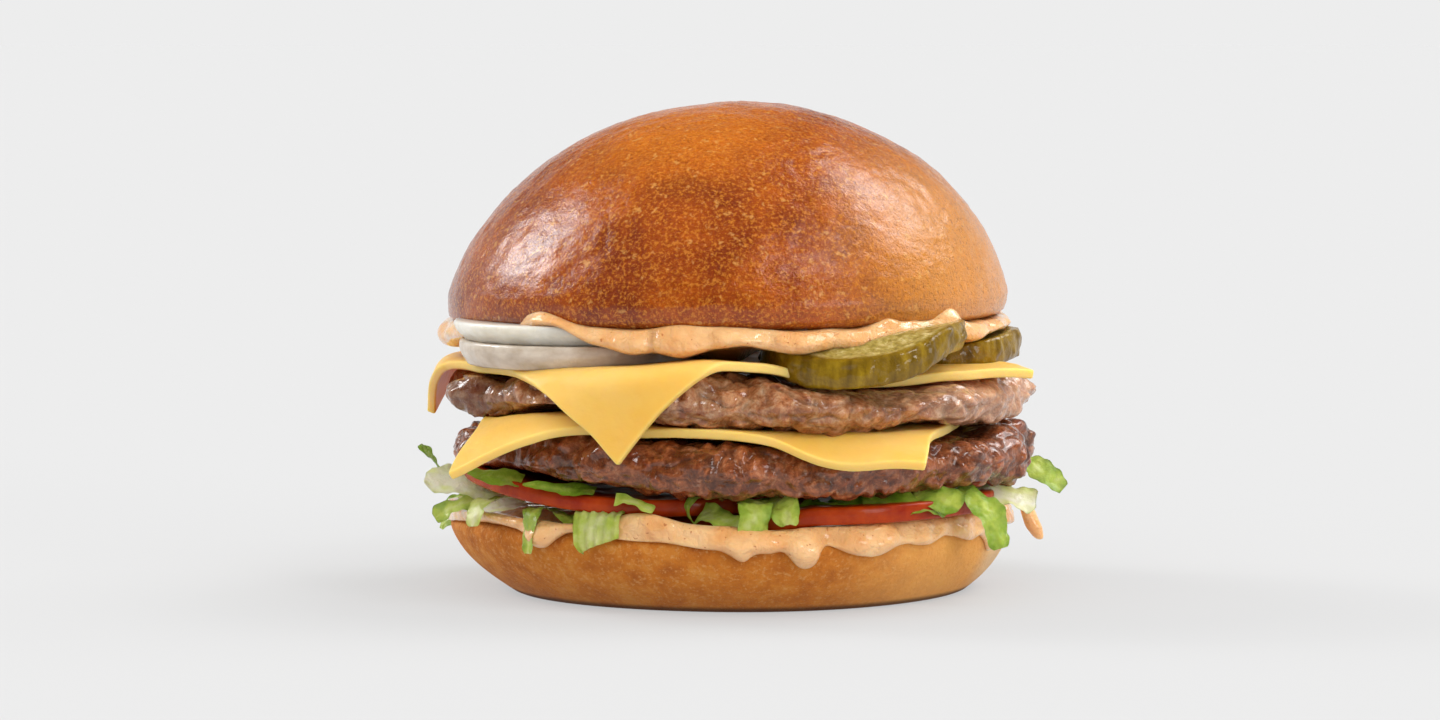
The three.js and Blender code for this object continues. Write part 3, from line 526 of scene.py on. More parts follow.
# painted contact shadow: a thin dark band at the very foot, where the heel meets the table
golden = tinted(tray_crust, golden, "#3a1a08", spread(tray_crust, height, 0.5, 1.5, 0.85, 0))
pale_patch = zone(tray_crust, (51, -12, 9), 4, 13)
golden = tinted(tray_crust, golden, "#e6cfa6", pale_patch, 0.6)
feed_main(tray_crust, Base_Color=golden)
relief(tray_crust, spots(tray_crust, 1.0, detail=5, roughness=0.7), 0.6)
finished("bun_heel_crust", heel_shape, tray_crust, "heel_crust", "bun_heel")

# %% [markdown]
# ## Cheese slices over the patties
#
# A processed cheese slice is a flat square. Warm, it bends over the rim of its patty, mostly at
# its corners. Each patty and each slice is described by a few numbers: where its corner lies, how
# far it is turned, and lobes for the places where the patty swells or the slice hangs.

# %% Patties in numbers
STACK_CENTRE = Vector((3, -1, 0))
PATTY_RADIUS = 53
GAP = 0.32  # between pieces that touch
# tops and bases: (angle, spread, lift); outs: (angle, spread, how far out)
LOWER_PATTY = {
    "base": 22,
    "top": 30.4,
    "seed": 1.7,
    "outs": [(-5, 32, -1.3)],
    "tops": [(-95, 14, 0.5), (-130, 20, 2.8), (-12, 13, 1.2)],
    "bases": [
        (-142, 24, 2.1),
        (-96, 16, -1.6),
        (-74, 12, -1.1),
        (-58, 10, -1.4),
        (-42, 12, -0.7),
        (-18, 19, -1.9),
        (70, 60, -1),
    ],
}
UPPER_PATTY = {
    "base": 33,
    "top": 40.6,
    "seed": 4.1,
    "outs": [],
    "tops": [(-97, 17, 2.7), (-84, 6, 0.6), (-62, 22, -1.4), (-128, 18, 0.7), (5, 50, 0.1), (95, 40, 0.9)],
    "bases": [(-131, 17, 3.4), (-71, 9, -1.5), (-57, 8, 0.5), (-28, 15, -1.1), (-160, 14, -0.6)],
}
print("the patties are", 2 * PATTY_RADIUS, "mm across, without their lumps")

# %% Slices in numbers
CHEESE_SIDE = 87
CHEESE_THICKNESS = 1.7
# corner: where one corner of the flat slice lies; turn: how far it is turned, in degrees
# bend: the radius of its bend over the rim; rim: how far from the middle the bend starts
# hangs: (angle, spread, steepest slope); insets: (angle, spread, how far in the bend starts)
# pulls: (side at this distance along, across, spread, how far the side is drawn to the right)
UPPER_CHEESE = {
    "patty": UPPER_PATTY,
    "corner": (-23.4, -64.8),
    "turn": 26,
    "pulls": [],
    "bend": 2.6,
    "rim": 52.2,
    "insets": [(167, 20, -1.6)],
    "hangs": [
        (-112.5, 26, 82),
        (167.5, 30, 72),
        (-26.5, 22, 9),
        (76, 30, 58),
        (-70, 12, 18),
        (-155, 14, 12),
    ],
}
LOWER_CHEESE = {
    "patty": LOWER_PATTY,
    "corner": (-51.3, -42.4),
    "turn": -11,
    "pulls": [(0, 17, 11, 4), (87, 14, 9, -1.4)],
    "bend": 3.2,
    "rim": 51,
    "insets": [(-76, 13, 3.4), (-112, 10, 1.5)],
    "hangs": [
        (-140.5, 24, 35),
        (-112, 9, 16),
        (-76, 9, 28),
        (-57, 15, 15),
        (132, 26, 62),
        (36.5, 26, 48),
    ],
}
print("hangs of the upper slice:", len(UPPER_CHEESE["hangs"]))

# %% [markdown]
# ## How a slice drapes
#
# A point of the flat slice keeps its distance along the cheese. Up to the patty's rim it lies on
# the patty's top. Past the rim it goes round a small arc and then straight down the slope of the
# nearest hang, so the slice bends without being stretched.


# %% Draping
def lobed(lobes, column, angle):
    """How much of one column the lobes round a rim give at an angle."""
    return sum(lobe[column] * nearness(angle, lobe[0], lobe[1]) for lobe in lobes)


def patty_top(patty, distance, angle):
    return patty["top"] + lobed(patty["tops"], 2, angle) * between(22, 48, distance)


def drape(point, cheese):
    """Lays a point of the flat slice on its patty. Its z is its height above the slice's underside."""
    height = point.z
    turn = math.radians(cheese["turn"])
    along, across = point.x + CHEESE_SIDE / 2, point.y + CHEESE_SIDE / 2
    for side, at, reach, by in cheese["pulls"]:
        along += by * nearness(across, at, reach) * math.exp(-abs(along - side) / 14)
    x = cheese["corner"][0] + along * math.cos(turn) - across * math.sin(turn) - STACK_CENTRE.x
    y = cheese["corner"][1] + along * math.sin(turn) + across * math.cos(turn) - STACK_CENTRE.y
    angle, distance = math.degrees(math.atan2(y, x)), max(1e-3, math.hypot(x, y))
    slope = math.radians(min(85, lobed(cheese["hangs"], 2, angle)))
    rim = cheese["rim"] - lobed(cheese["insets"], 2, angle)
    over = max(0, distance - rim)
    bent = min(slope, over / cheese["bend"])
    straight = max(0, over - slope * cheese["bend"])
    out = min(distance, rim) + cheese["bend"] * math.sin(bent) + straight * math.cos(slope)
    down = cheese["bend"] * (1 - math.cos(bent)) + straight * math.sin(slope)
    share = (out + height * math.sin(bent)) / distance
    top = patty_top(cheese["patty"], min(distance, rim), angle) + GAP
    point.xyz = STACK_CENTRE.x + x * share, STACK_CENTRE.y + y * share, top - down + height * math.cos(bent)


def cheese_sheet(cheese, cells_along):
    """The underside of a slice, as a sheet without thickness."""
    sheet = bmesh.new()
    bmesh.ops.create_grid(sheet, x_segments=cells_along, y_segments=cells_along, size=CHEESE_SIDE / 2)
    for vert in sheet.verts:
        drape(vert.co, cheese)
    sheet.normal_update()
    return sheet


for name, cheese in (("upper", UPPER_CHEESE), ("lower", LOWER_CHEESE)):
    sheet = cheese_sheet(cheese, 12)
    print("the", name, "slice hangs down to", round(min(vert.co.z for vert in sheet.verts), 1), "mm")
    sheet.free()

# %% [markdown]
# ## Two slices of cheese
#
# A slice is a flat grid, doubled to its thickness, with its sharp edges bevelled. It swells a
# little before it is draped, and its cut edges and its underside are marked for the finish.


# %% Shape of the slices
def doubled(sheet):
    """Copies a sheet's faces and joins the copy to them all round. Gives the copy's points."""
    copy = bmesh.ops.extrude_face_region(sheet, geom=sheet.faces[:], use_keep_orig=True)["geom"]
    return [part for part in copy if isinstance(part, bmesh.types.BMVert)]


def cheese_slice(cheese, seed):
    shape = bmesh.new()
    bmesh.ops.create_grid(shape, x_segments=112, y_segments=112, size=CHEESE_SIDE / 2)
    bmesh.ops.translate(shape, vec=(0, 0, CHEESE_THICKNESS), verts=doubled(shape))
    bmesh.ops.recalc_face_normals(shape, faces=shape.faces)
    sharp = [edge for edge in shape.edges if edge.calc_face_angle(0) > 1]
    bmesh.ops.bevel(shape, geom=sharp, offset=0.4, segments=3, profile=0.5, affect="EDGES", material=-1)
    rim_mark = shape.verts.layers.float.new("cut_edge")
    under_mark = shape.verts.layers.float.new("underside")
    for vert in shape.verts:
        flat = vert.co.copy()
        inside = CHEESE_SIDE / 2 - max(abs(flat.x), abs(flat.y))
        vert[rim_mark] = between(0.6, 0.05, inside)
        vert[under_mark] = between(0.5, 0.1, flat.z)
        place = Vector((flat.x, flat.y, seed))
        vert.co.z += 0.3 * grain(place, 10) + 0.07 * grain(place, 3)
        vert.co.x += 0.3 * grain(Vector((0, flat.y, seed + 3)), 8)
        vert.co.y += 0.3 * grain(Vector((flat.x, 0, seed + 7)), 8)
        drape(vert.co, cheese)
    return shape


upper_slice = cheese_slice(UPPER_CHEESE, 2.0)
lower_slice = cheese_slice(LOWER_CHEESE, 11.0)
print("a slice has", len(upper_slice.faces), "faces")

# %% [markdown]
# ## Melting cheese
#
# Light sinks a little way into cheese and comes out yellow, which softens its shading. Its face
# is smooth and slightly greasy, and its cut edges get a painted highlight, a paler colour. On the
# underside of the flap that hangs at the left, a deeper orange is a painted glow of light
# shining through the cheese in its shade.


# %% Finish of the cheese
def marked(look, mark):
    """A mark that was kept on a shape's points."""
    node = look.node_tree.nodes.new("ShaderNodeAttribute")
    node.attribute_name = mark
    return node.outputs["Fac"]


cheese_look = new_look(
    "melting cheese",
    Roughness=0.42,
    Specular_IOR_Level=0.14,
    Coat_Weight=0.1,
    Coat_Roughness=0.14,
    Subsurface_Weight=0.55,
    Subsurface_Radius=(0.006, 0.0032, 0.0007),
    Subsurface_Scale=0.8,
)
creamy = painted(cheese_look, spots(cheese_look, 14, detail=3), (0.35, "#e5b04e"), (0.65, "#eabc66"))
# painted highlight: the cut edges are painted paler
creamy = tinted(cheese_look, creamy, "#f6d88c", marked(cheese_look, "cut_edge"), 0.3)
# painted glow: the underside of the left flap is painted a deeper orange, as light shining through it in
# shade
left_flap = zone(cheese_look, (-54, 5, 34), 18, 30)
under_flap = sums(cheese_look, "MULTIPLY", left_flap, marked(cheese_look, "underside"))
creamy = tinted(cheese_look, creamy, "#dc8a00", under_flap)
feed_main(cheese_look, Base_Color=creamy)
relief(cheese_look, spots(cheese_look, 4, detail=4, roughness=0.5), 0.25)
finished("cheese_upper_slice", upper_slice, cheese_look, "cheese", "cheese_upper")
finished("cheese_lower_slice", lower_slice, cheese_look, "cheese", "cheese_lower")

# %% [markdown]
# ## Minced beef
#
# A pressed patty is minced beef, and its rim is a crowd of lumps of meat with dark creases
# between them. The lumps are real relief: cells give the crumbled meat, billows its soft curls,
# and waves that bend each other the broad lumps of a patty pressed by hand.


# %% Relief of minced meat
def lumps(point, size, seed):
    """Broad lumps from crossed waves that bend each other, between -1 and 1."""
    a = point.x / size * 2.1 + seed
    b = point.y / size * 2.3 - seed * 1.7
    c = point.z / size * 2.6 + seed * 0.6
    return (
        math.sin(a + 1.3 * math.sin(b + 0.7 * c)) * 0.5
        + math.sin(b + 1.1 * math.sin(c + 0.9 * a)) * 0.3
        + math.sin(c + 1.2 * math.sin(a - 0.8 * b)) * 0.2
    )


def minced(place, seed):
    """Relief of minced meat in millimetres, and how deep in a crease the place is, from 0 to 1."""
    shift = Vector((grain(place, 5, seed), grain(place, 5, seed + 9), grain(place, 5, seed + 4)))
    bent = place + shift * 1.6
    distances, _ = noise.voronoi(bent / 5.2 + Vector((seed, 0, seed * 2)))
    lump = between(0, 0.5, distances[1] - distances[0])
    billow = min(1, abs(grain(bent, 4.4, seed + 3)) * 2.6)
    crumb = min(1, abs(grain(bent, 1.7, seed + 5)) * 2.6)
    rough = between(-0.35, 0.35, grain(place, 9, seed + 2))
    height = 0.95 * (lump - 0.6) + 0.7 * (math.sqrt(billow) - 0.6)
    height = height + blend(0.03, 0.32, rough) * (math.sqrt(crumb) - 0.6)
    height += 1.0 * grain(place, 6, seed + 6) + 0.14 * grain(place, 1.3, seed)
    crease = 0.5 * (1 - lump) + 0.6 * between(0.24, 0, billow)
    crease = crease + blend(0.1, 0.4, rough) * between(0.3, 0, crumb)
    return height, min(1, crease)


print("relief at the right end of the rim:", round(minced(Vector((PATTY_RADIUS, 0, 26)), 1.7)[0], 2), "mm")

# %% [markdown]
# ## Beef patties
#
# The patty's section is a smooth line through a few marks. It is spun, made wavy, and its relief
# then pushes outward on the side and up or down on the faces.


# %% Shape of a patty
LUMPINESS = 0.8  # how much of the minced relief the side shows


def through(points, share):
    """The place a share of the way along a smooth line through the points."""
    place = share * (len(points) - 1)
    i = min(int(place), len(points) - 2)
    t = place - i
    four = points[max(0, i - 1)], points[i], points[i + 1], points[min(len(points) - 1, i + 2)]
    return [
        0.5 * (2 * b + (c - a) * t + (2 * a - 5 * b + 4 * c - d) * t * t + (3 * b - a - 3 * c + d) * t**3)
        for a, b, c, d in zip(*four)
    ]


def patty_outline(patty):
    """The patty's half outline, from the middle of its base round the rim to the middle of its top."""
    base, top = patty["base"], patty["top"]
    marks = [
        (0.88, base),
        (0.965, base + 0.9),
        (0.995, base + 2.8),
        (1, (base + top) / 2),
        (0.99, top - 2.5),
        (0.955, top - 0.9),
        (0.88, top - 0.3),
    ]
    underneath = [(share, base) for share in (0, 0.3, 0.55, 0.68, 0.76, 0.82)]
    rim_line = [through(marks, k / 58) for k in range(59)]
    above = [(0.82, top - 0.35), (0.76, top - 0.4), (0.68, top - 0.45)]
    above += [(share, top - 0.5) for share in (0.55, 0.3, 0)]
    return [(share * PATTY_RADIUS, height) for share, height in underneath + rim_line + above]


def beef_patty(patty):
    base, top, seed = patty["base"], patty["top"], patty["seed"]
    middle = (base + top) / 2

    def shape_rim(point, distance, angle):
        share = distance / PATTY_RADIUS
        above = point.z > middle
        outward = between(0.7, 0.97, share)
        ease = between(22, 48, distance) * min(1, 2 * abs(point.z - middle) / (top - base))
        waves = [(0.9, 3, seed), (0.6, 7, seed * 2.3), (0.5, 13, seed * 3.1), (0.35, 19, seed)]
        widen(point, 1 + (rippled(waves, angle) + lobed(patty["outs"], 2, angle)) / PATTY_RADIUS)
        crag = lumps(point, 8, seed)
        widen(point, 1 + crag * 1.6 * outward / PATTY_RADIUS)
        point.z += lobed(patty["tops"] if above else patty["bases"], 2, angle) * ease + crag * 0.5 * outward
        meat, crease = minced(point, seed)
        meat *= LUMPINESS * between(0.6, 0.86, share)
        level = (point.z - middle) / (top - base) * 2
        tilt = math.copysign(min(1, abs(level)) ** 2.5, level) * (1 - 0.55 * between(0.9, 1, share))
        widen(point, 1 + meat * math.sqrt(max(0, 1 - tilt * tilt)) / PATTY_RADIUS)
        point.z += meat * tilt
        point += STACK_CENTRE
        return crease

    return shaped(spun(patty_outline(patty), 11), shape_rim, "crease")


lower_beef, upper_beef = beef_patty(LOWER_PATTY), beef_patty(UPPER_PATTY)
print("a patty has", len(lower_beef.faces), "faces")

# %% [markdown]
# ## Meat under the cheese
#
# Where a cheese slice lies over the rim, the warm slice hugs the meat. The points of the meat
# that stand out through the slice are looked up with a search tree and pressed in under it.


# %% Patties pressed under the slices
def pressed_under(shape, sheet, clear=0.12):
    """Pushes the points that stand out through a sheet back to its underside."""
    tree = BVHTree.FromBMesh(sheet)
    pushed = 0
    for vert in shape.verts:
        place, normal, _, _ = tree.find_nearest(vert.co, 7)
        if place is None:
            continue
        away = vert.co - place
        above = away.dot(normal)
        if above > -clear and (away - normal * above).length < 0.35:
            vert.co = place - normal * clear
            pushed += 1
    sheet.free()
    return pushed


print("pressed under the lower slice:", pressed_under(lower_beef, cheese_sheet(LOWER_CHEESE, 96)))
print("pressed under the upper slice:", pressed_under(upper_beef, cheese_sheet(UPPER_CHEESE, 96)))

# %% [markdown]
# ## Seared beef
#
# Seared mince is a patchwork: grey-pink where it steamed under the cheese, red-brown fat-glossed
# lumps, and nearly black patches of char. The creases get a painted shade, nearly black, and on
# the upper patty the right side is painted lighter and the left darker, as painted light and
# shade. Juice makes it wet, so its roughness is low and changes from spot to spot.


# %% Finish of the beef
def beef_finish(name, stops, char):
    look = new_look(
        name,
        Specular_IOR_Level=0.15,
        Coat_Weight=1.0,
        Coat_Roughness=0.1,
        Subsurface_Weight=0.1,
        Subsurface_Radius=(0.002, 0.0008, 0.0005),
        Subsurface_Scale=0.5,
    )
    meat = painted(look, spots(look, 2.4, detail=6, roughness=0.7, warp=0.6), *stops)
    reddish = spread(look, spots(look, 4.5, detail=4, roughness=0.6), 0.54, 0.68)
    meat = tinted(look, meat, "#85330f", reddish, 0.6)
    fat = spread(look, spots(look, 1.5, detail=3, roughness=0.6), 0.58, 0.7)
    meat = tinted(look, meat, "#c99d80", fat, 0.5)
    burnt = spread(look, spots(look, 6.5, detail=5, roughness=0.7), 0.5, 0.64)
    meat = tinted(look, meat, "#1f0c05", burnt, char)
    # painted shade: the creases are darkened, nearly black
    meat = tinted(look, meat, "#2a1007", marked(look, "crease"), 0.6)
    damp = spread(look, spots(look, 2.2, detail=3), 0.35, 0.65, 0.3, 0.6)
    feed_main(look, Base_Color=meat, Roughness=damp)
    wet = sums(
        look,
        "ADD",
        spots(look, 1.3, detail=4, roughness=0.6),
        sums(look, "MULTIPLY", spots(look, 0.5, detail=2), 0.3),
    )
    relief(look, wet, 0.55, coat_depth=0.04)
    return look, meat


browned_meat = [(0.3, "#451a06"), (0.45, "#7f3f1a"), (0.58, "#a86036"), (0.72, "#cf9266")]
pink_meat = [(0.3, "#6c3518"), (0.45, "#a8683f"), (0.58, "#c8946a"), (0.72, "#e2bd9c")]
seared_lower, _ = beef_finish("well-seared beef", browned_meat, 0.6)
seared_upper, juicy = beef_finish("juicy beef", pink_meat, 0.22)
# painted light: the right side of the upper patty is painted lighter
right_side = zone(seared_upper, (52, -22, 37), 6, 46)
juicy = tinted(seared_upper, juicy, "#dfb496", right_side, 0.35)
# painted shade: the left side of the upper patty is painted darker
left_side = zone(seared_upper, (-48, -18, 37), 6, 26)
juicy = tinted(seared_upper, juicy, "#4c2008", left_side, 0.5)
feed_main(seared_upper, Base_Color=juicy)
finished("patty_lower_beef", lower_beef, seared_lower, "beef", "patty_lower")
finished("patty_upper_beef", upper_beef, seared_upper, "beef", "patty_upper")

# %% [markdown]
# ## Onion slices
#
# Two thin slices of a white onion lie one over the other. An onion is a nest of rings, so the
# flat faces have shallow grooves where one ring meets the next. The outer ring's side slopes in
# towards the narrow face.

# %% Shape of the onion slices
# right and back: how much a slice rises on its way to the right and to the back
# wide and narrow: the radius of its upper and of its lower face
LOWER_ONION = {
    "middle": (-24.6, -20.5, 42.8),
    "thick": 4.4,
    "right": 0.004,
    "back": 0.006,
    "wide": 23.6,
    "narrow": 22.3,
}
UPPER_ONION = {"middle": (-25, -20, 47.1), "thick": 3.5, "wide": 24.2, "narrow": 22.4}
RING_WIDTH = 3.4


def tilted(point, place):
    """Tilts a point by its rise to the right and to the back, and moves it to its place."""
    point.z += place.get("right", 0) * point.x + place.get("back", 0) * point.y
    point += Vector(place["middle"])


def onion_slice(place):
    thick, wide, narrow = place["thick"], place["wide"], place["narrow"]
    side = [(narrow - 0.5, 0.0), (narrow - 0.12, 0.18), (narrow + 0.08, 0.5)]
    bulge = [(k / 10, 0.45 * math.sin(math.pi * k / 10)) for k in range(1, 10)]
    side += [(blend(narrow, wide, share) + out, blend(0.5, thick - 0.5, share)) for share, out in bulge]
    side += [(wide, thick - 0.5), (wide - 0.1, thick - 0.16), (wide - 0.5, thick)]
    face = [k * 0.34 for k in range(int((narrow - 0.9) / 0.34))]
    outline = [(d, 0) for d in face] + side + [(d, thick) for d in reversed(face)]
    waves = [(0.012, 2, 1.1), (0.006, 3, 0.2), (0.0016, 17, 1), (0.001, 41, 2)]

    def shape_onion(point, distance, angle):
        if distance < narrow - 0.6:
            groove = abs((distance + 0.4 * rippled([(1, 2, 0.4)], angle)) % RING_WIDTH - RING_WIDTH / 2)
            depth = 0.3 * (1 - between(0, 0.5, groove))
            point.z += depth if point.z < thick / 2 else -depth
        widen(point, 1 + rippled(waves, angle))
        tilted(point, place)

    return shaped(spun(outline, 4), shape_onion)


lower_onion, upper_onion = onion_slice(LOWER_ONION), onion_slice(UPPER_ONION)
print("rings in a slice:", int(LOWER_ONION["narrow"] / RING_WIDTH))

# %% [markdown]
# ## Raw white onion
#
# Onion flesh is watery and lets light through, so it is milky with a cool grey inside. Fine
# upright fibres run through the side of each ring. A brown patch at the far right, in the hollow
# under the crown, is painted shade, and the lower slice is a darker copy of the onion, painted
# as shade.


# %% Finish of the onion
def onion_finish(name, light, dark):
    look = new_look(
        name,
        Roughness=0.3,
        Specular_IOR_Level=0.45,
        Coat_Weight=0.5,
        Coat_Roughness=0.08,
        Subsurface_Weight=0.8,
        Subsurface_Radius=(0.006, 0.0054, 0.0045),
        Subsurface_Scale=0.8,
    )
    cloudy = spots(look, 5, detail=4, roughness=0.55, stretch=(1, 1, 0.5))
    flesh = painted(look, cloudy, (0.35, dark), (0.65, light))
    fibres = spread(look, spots(look, 0.8, detail=2, stretch=(1, 1, 10)), 0.5, 0.8)
    flesh = tinted(look, flesh, "#a89f92", fibres, 0.12)
    # painted shade: the far right of the onion, in the hollow under the crown, is painted brown
    soaked = zone(look, (12, -26, 45), 12, 26)
    flesh = tinted(look, flesh, "#6a4022", soaked, 0.85)
    feed_main(look, Base_Color=flesh)
    relief(look, sums(look, "ADD", spots(look, 2.5, detail=3), sums(look, "MULTIPLY", fibres, 0.15)), 0.25)
    return look


# painted shade: the lower slice is a darker copy of the same onion
wet_onion = onion_finish("onion in painted shade", "#cfc3b5", "#b3a391")
white_onion = onion_finish("white onion", "#dfdbd1", "#cfcabd")
finished("onion_lower_slice", lower_onion, wet_onion, "onion", "onion_lower")
finished("onion_upper_slice", upper_onion, white_onion, "onion", "onion_upper")

# %% [markdown]
# ## Pickle slices
#
# A pickled gherkin has a warty skin, and its cut face is a wet, mottled pale green. The front
# slice droops over the edge of the patty, so its middle stays level and its front edge sinks.

# %% Shape of the pickle slices
PICKLE_THICKNESS = 5.2
# from: how far in front of its middle a slice starts to droop; by: how steeply it droops
FRONT_PICKLE = {
    "middle": (23.7, -35.2, 44.2),
    "radius": 17.8,
    "right": 0.11,
    "from": 7,
    "by": 0.36,
    "seed": 2.3,
}
SIDE_PICKLE = {
    "middle": (37.6, -6.5, 40.8),
    "radius": 15.4,
    "right": 0.14,
    "back": 0.04,
    "from": 12,
    "by": 0,
    "seed": 6.4,
}


def pickle_slice(place):
    radius, thick, seed = place["radius"], PICKLE_THICKNESS, place["seed"]
    side = [(radius - 0.7, 0), (radius - 0.25, 0.2), (radius, 0.8)]
    bulge = [(k / 14, 0.25 * math.sin(math.pi * k / 14)) for k in range(1, 14)]
    side += [(radius + out, blend(0.8, thick - 0.8, share)) for share, out in bulge]
    side += [(radius, thick - 0.8), (radius - 0.2, thick - 0.2), (radius - 0.7, thick)]
    face = [(radius - 0.9) * k / 34 for k in range(34)]
    outline = [(d, 0) for d in face] + side + [(d, thick) for d in reversed(face)]

    def shape_pickle(point, distance, angle):
        upper = point.z > thick / 2
        if distance < radius - 0.8:
            dip = 0.35 * between(radius - 0.8, radius - 3.5, distance) if distance > radius - 3.5 else 0.35
            pulp = 0.16 * grain(point, 1.8, seed) + 0.12 * grain(point, 4, seed)
            point.z += (-dip + pulp) * (1 if upper else -1)
        else:
            wart = max(0, grain(point, 2.6, seed) - 0.12) * 1.1
            wart = wart + 0.16 * grain(point, 1.3, seed) + 0.25 * grain(point, 6, seed)
            widen(point, 1 + wart / radius)
        widen(point, 1 + rippled([(0.015, 2, 0.3), (0.01, 5, 1.2)], angle))
        over = max(0, -point.y - place["from"])
        point.z -= place["by"] * over * between(-4, 9, over)
        tilted(point, place)

    return shaped(spun(outline, 4), shape_pickle)


front_pickle, side_pickle = pickle_slice(FRONT_PICKLE), pickle_slice(SIDE_PICKLE)
print("the front slice droops to", round(min(vert.co.z for vert in front_pickle.verts), 1), "mm")

# %% [markdown]
# ## Pickled gherkin
#
# The skin is a dark olive with paler streaks, and the flesh inside a lighter olive with a fine
# wet grain. The distance from the slice's middle tells skin from flesh.


# %% Finish of the pickles
def pickle_finish(name, place):
    look = new_look(
        name,
        Roughness=0.4,
        Specular_IOR_Level=0.12,
        Coat_Weight=0.55,
        Coat_Roughness=0.07,
        Subsurface_Weight=0.25,
        Subsurface_Radius=(0.003, 0.003, 0.001),
        Subsurface_Scale=0.6,
    )
    x, y, z = place["middle"]
    streaks = spots(look, 2.2, detail=4, roughness=0.55, stretch=(1, 1, 4))
    skin = painted(look, streaks, (0.3, "#584000"), (0.52, "#7a5d04"), (0.75, "#9a7c12"))
    pulp = spots(look, 1.3, detail=4, roughness=0.65)
    flesh = painted(look, pulp, (0.3, "#75662a"), (0.5, "#9d8a42"), (0.72, "#cbb980"))
    inside = zone(look, (x, y, z + 2), place["radius"] - 1.9, place["radius"] - 0.6, stretch=(1, 1, 6))
    feed_main(look, Base_Color=mixed(look, inside, skin, flesh))
    relief(look, spots(look, 1.6, detail=3, roughness=0.6), 0.45, coat_depth=0.05)
    return look


front_gherkin = pickle_finish("front gherkin", FRONT_PICKLE)
side_gherkin = pickle_finish("side gherkin", SIDE_PICKLE)
finished("pickle_front_slice", front_pickle, front_gherkin, "pickle", "pickle_front")
finished("pickle_side_slice", side_pickle, side_gherkin, "pickle", "pickle_side")

# %% [markdown]
# ## Tomato slices
#
# Two slices of tomato lie on the heel. A slice has a thin, tight skin round its side and wet
# flesh on its faces. The left one curls up at its free side, and the right one dips under it.

# %% Shape of the tomato slices
# flat_to: where a slice starts to curl up towards the left; dip: how far its left side sinks
TOMATO_RADIUS = 33
LEFT_TOMATO = {"middle": (-15.5, -13, 17.4), "thick": 3, "flat_to": 5.5, "curl": 0.0031}
RIGHT_TOMATO = {"middle": (15, -15, 16.1), "thick": 3.2, "right": 0.012, "dip": 2.1}


def tomato_slice(place, seed):
    thick, radius = place["thick"], TOMATO_RADIUS
    side = [(radius - 0.6, 0), (radius - 0.2, 0.12), (radius, 0.45)]
    bulge = [(k / 8, 0.12 * math.sin(math.pi * k / 8)) for k in range(1, 8)]
    side += [(radius + out, blend(0.45, thick - 0.45, share)) for share, out in bulge]
    side += [(radius, thick - 0.45), (radius - 0.2, thick - 0.12), (radius - 0.6, thick)]
    face = [(radius - 0.9) * k / 36 for k in range(36)]
    outline = [(d, 0) for d in face] + side + [(d, thick) for d in reversed(face)]

    def shape_tomato(point, distance, angle):
        pulp = 0.14 * grain(point, 5, seed) + 0.07 * grain(point, 1.9, seed)
        point.z += pulp * (1 if point.z > thick / 2 else -1) * between(radius, radius - 2, distance)
        widen(point, 1 + rippled([(0.012, 3, 0.8), (0.008, 5, 2.4)], angle))
        point.z += place.get("curl", 0) * max(0, place.get("flat_to", 0) - point.x) ** 2
        point.z -= place.get("dip", 0) * between(2, -14, point.x)
        tilted(point, place)

    return shaped(spun(outline, 4), shape_tomato)


left_tomato, right_tomato = tomato_slice(LEFT_TOMATO, 3), tomato_slice(RIGHT_TOMATO, 7)
print("a tomato slice is", 2 * TOMATO_RADIUS, "mm across")

# %% [markdown]
# ## Ripe tomato
#
# The tomato is a deep red, in soft patches of a lighter, more orange red, with a soft glow where
# light passes through it.

# %% Finish of the tomatoes
tomato_look = new_look(
    "ripe tomato",
    Roughness=0.4,
    Specular_IOR_Level=0.1,
    Coat_Weight=0.25,
    Coat_Roughness=0.12,
    Subsurface_Weight=0.3,
    Subsurface_Radius=(0.006, 0.0016, 0.0008),
    Subsurface_Scale=0.5,
)
ripe = painted(tomato_look, spots(tomato_look, 5, detail=4), (0.35, "#8a2004"), (0.65, "#ac3c04"))
feed_main(tomato_look, Base_Color=ripe)
relief(tomato_look, spots(tomato_look, 2.2, detail=3), 0.2)
finished("tomato_left_slice", left_tomato, tomato_look, "tomato", "tomato_left")
finished("tomato_right_slice", right_tomato, tomato_look, "tomato", "tomato_right")

# %% [markdown]
# ## Burger sauce
#
# The sauce squeezes out under the crown and over the rim of the heel in soft lobes. Both bands
# are a spun lip: for each angle the lobes say how far it stands out, climbs the crust and hangs.

# %% Sauce under the crown in numbers
# lobes: (angle, spread, out, rise, drop)
CROWN_SAUCE = [
    (180, 8, 1.5, 0.2, 1.6),
    (163, 8, 0.7, 0.8, 0.6),
    (-142, 10, -2.2, -0.6, -2.6),
    (-130, 6, 1.5, 2.5, -1.6),
    (-124, 5, 0.7, 0.6, -2.4),
    (-108.5, 5, 0.9, -0.2, 1.1),
    (-98.5, 4.6, 1.6, 0.9, 1.6),
    (-91, 3.6, 0.9, 0.4, 0.1),
    (-86.5, 3.5, 1.0, 0.2, -0.4),
    (-75, 5.4, 1.5, -0.5, 1.2),
    (-63.5, 4, 1.2, -0.3, 0.4),
    (-56, 3.4, 1.2, 1.5, -0.7),
    (-49, 4, 0.9, 0.9, -1.8),
    (-38.5, 4.6, 2.3, 2.6, -1.6),
    (-27.5, 4, 0.9, -0.4, 0.5),
    (-16, 6, 0.7, -0.6, -0.8),
    (-3, 6, 0.6, -0.4, -1),
    (9, 6, 0.9, 0.8, 0.9),
    (31, 8, 1.7, 0.4, 1.8),
    (52, 7, 0.8, 1.6, 0.6),
    (78, 9, 1.6, 0.7, 2.1),
    (104, 8, 1.1, 2.3, 0.6),
    (130, 10, 1.8, 0.6, 1.5),
]
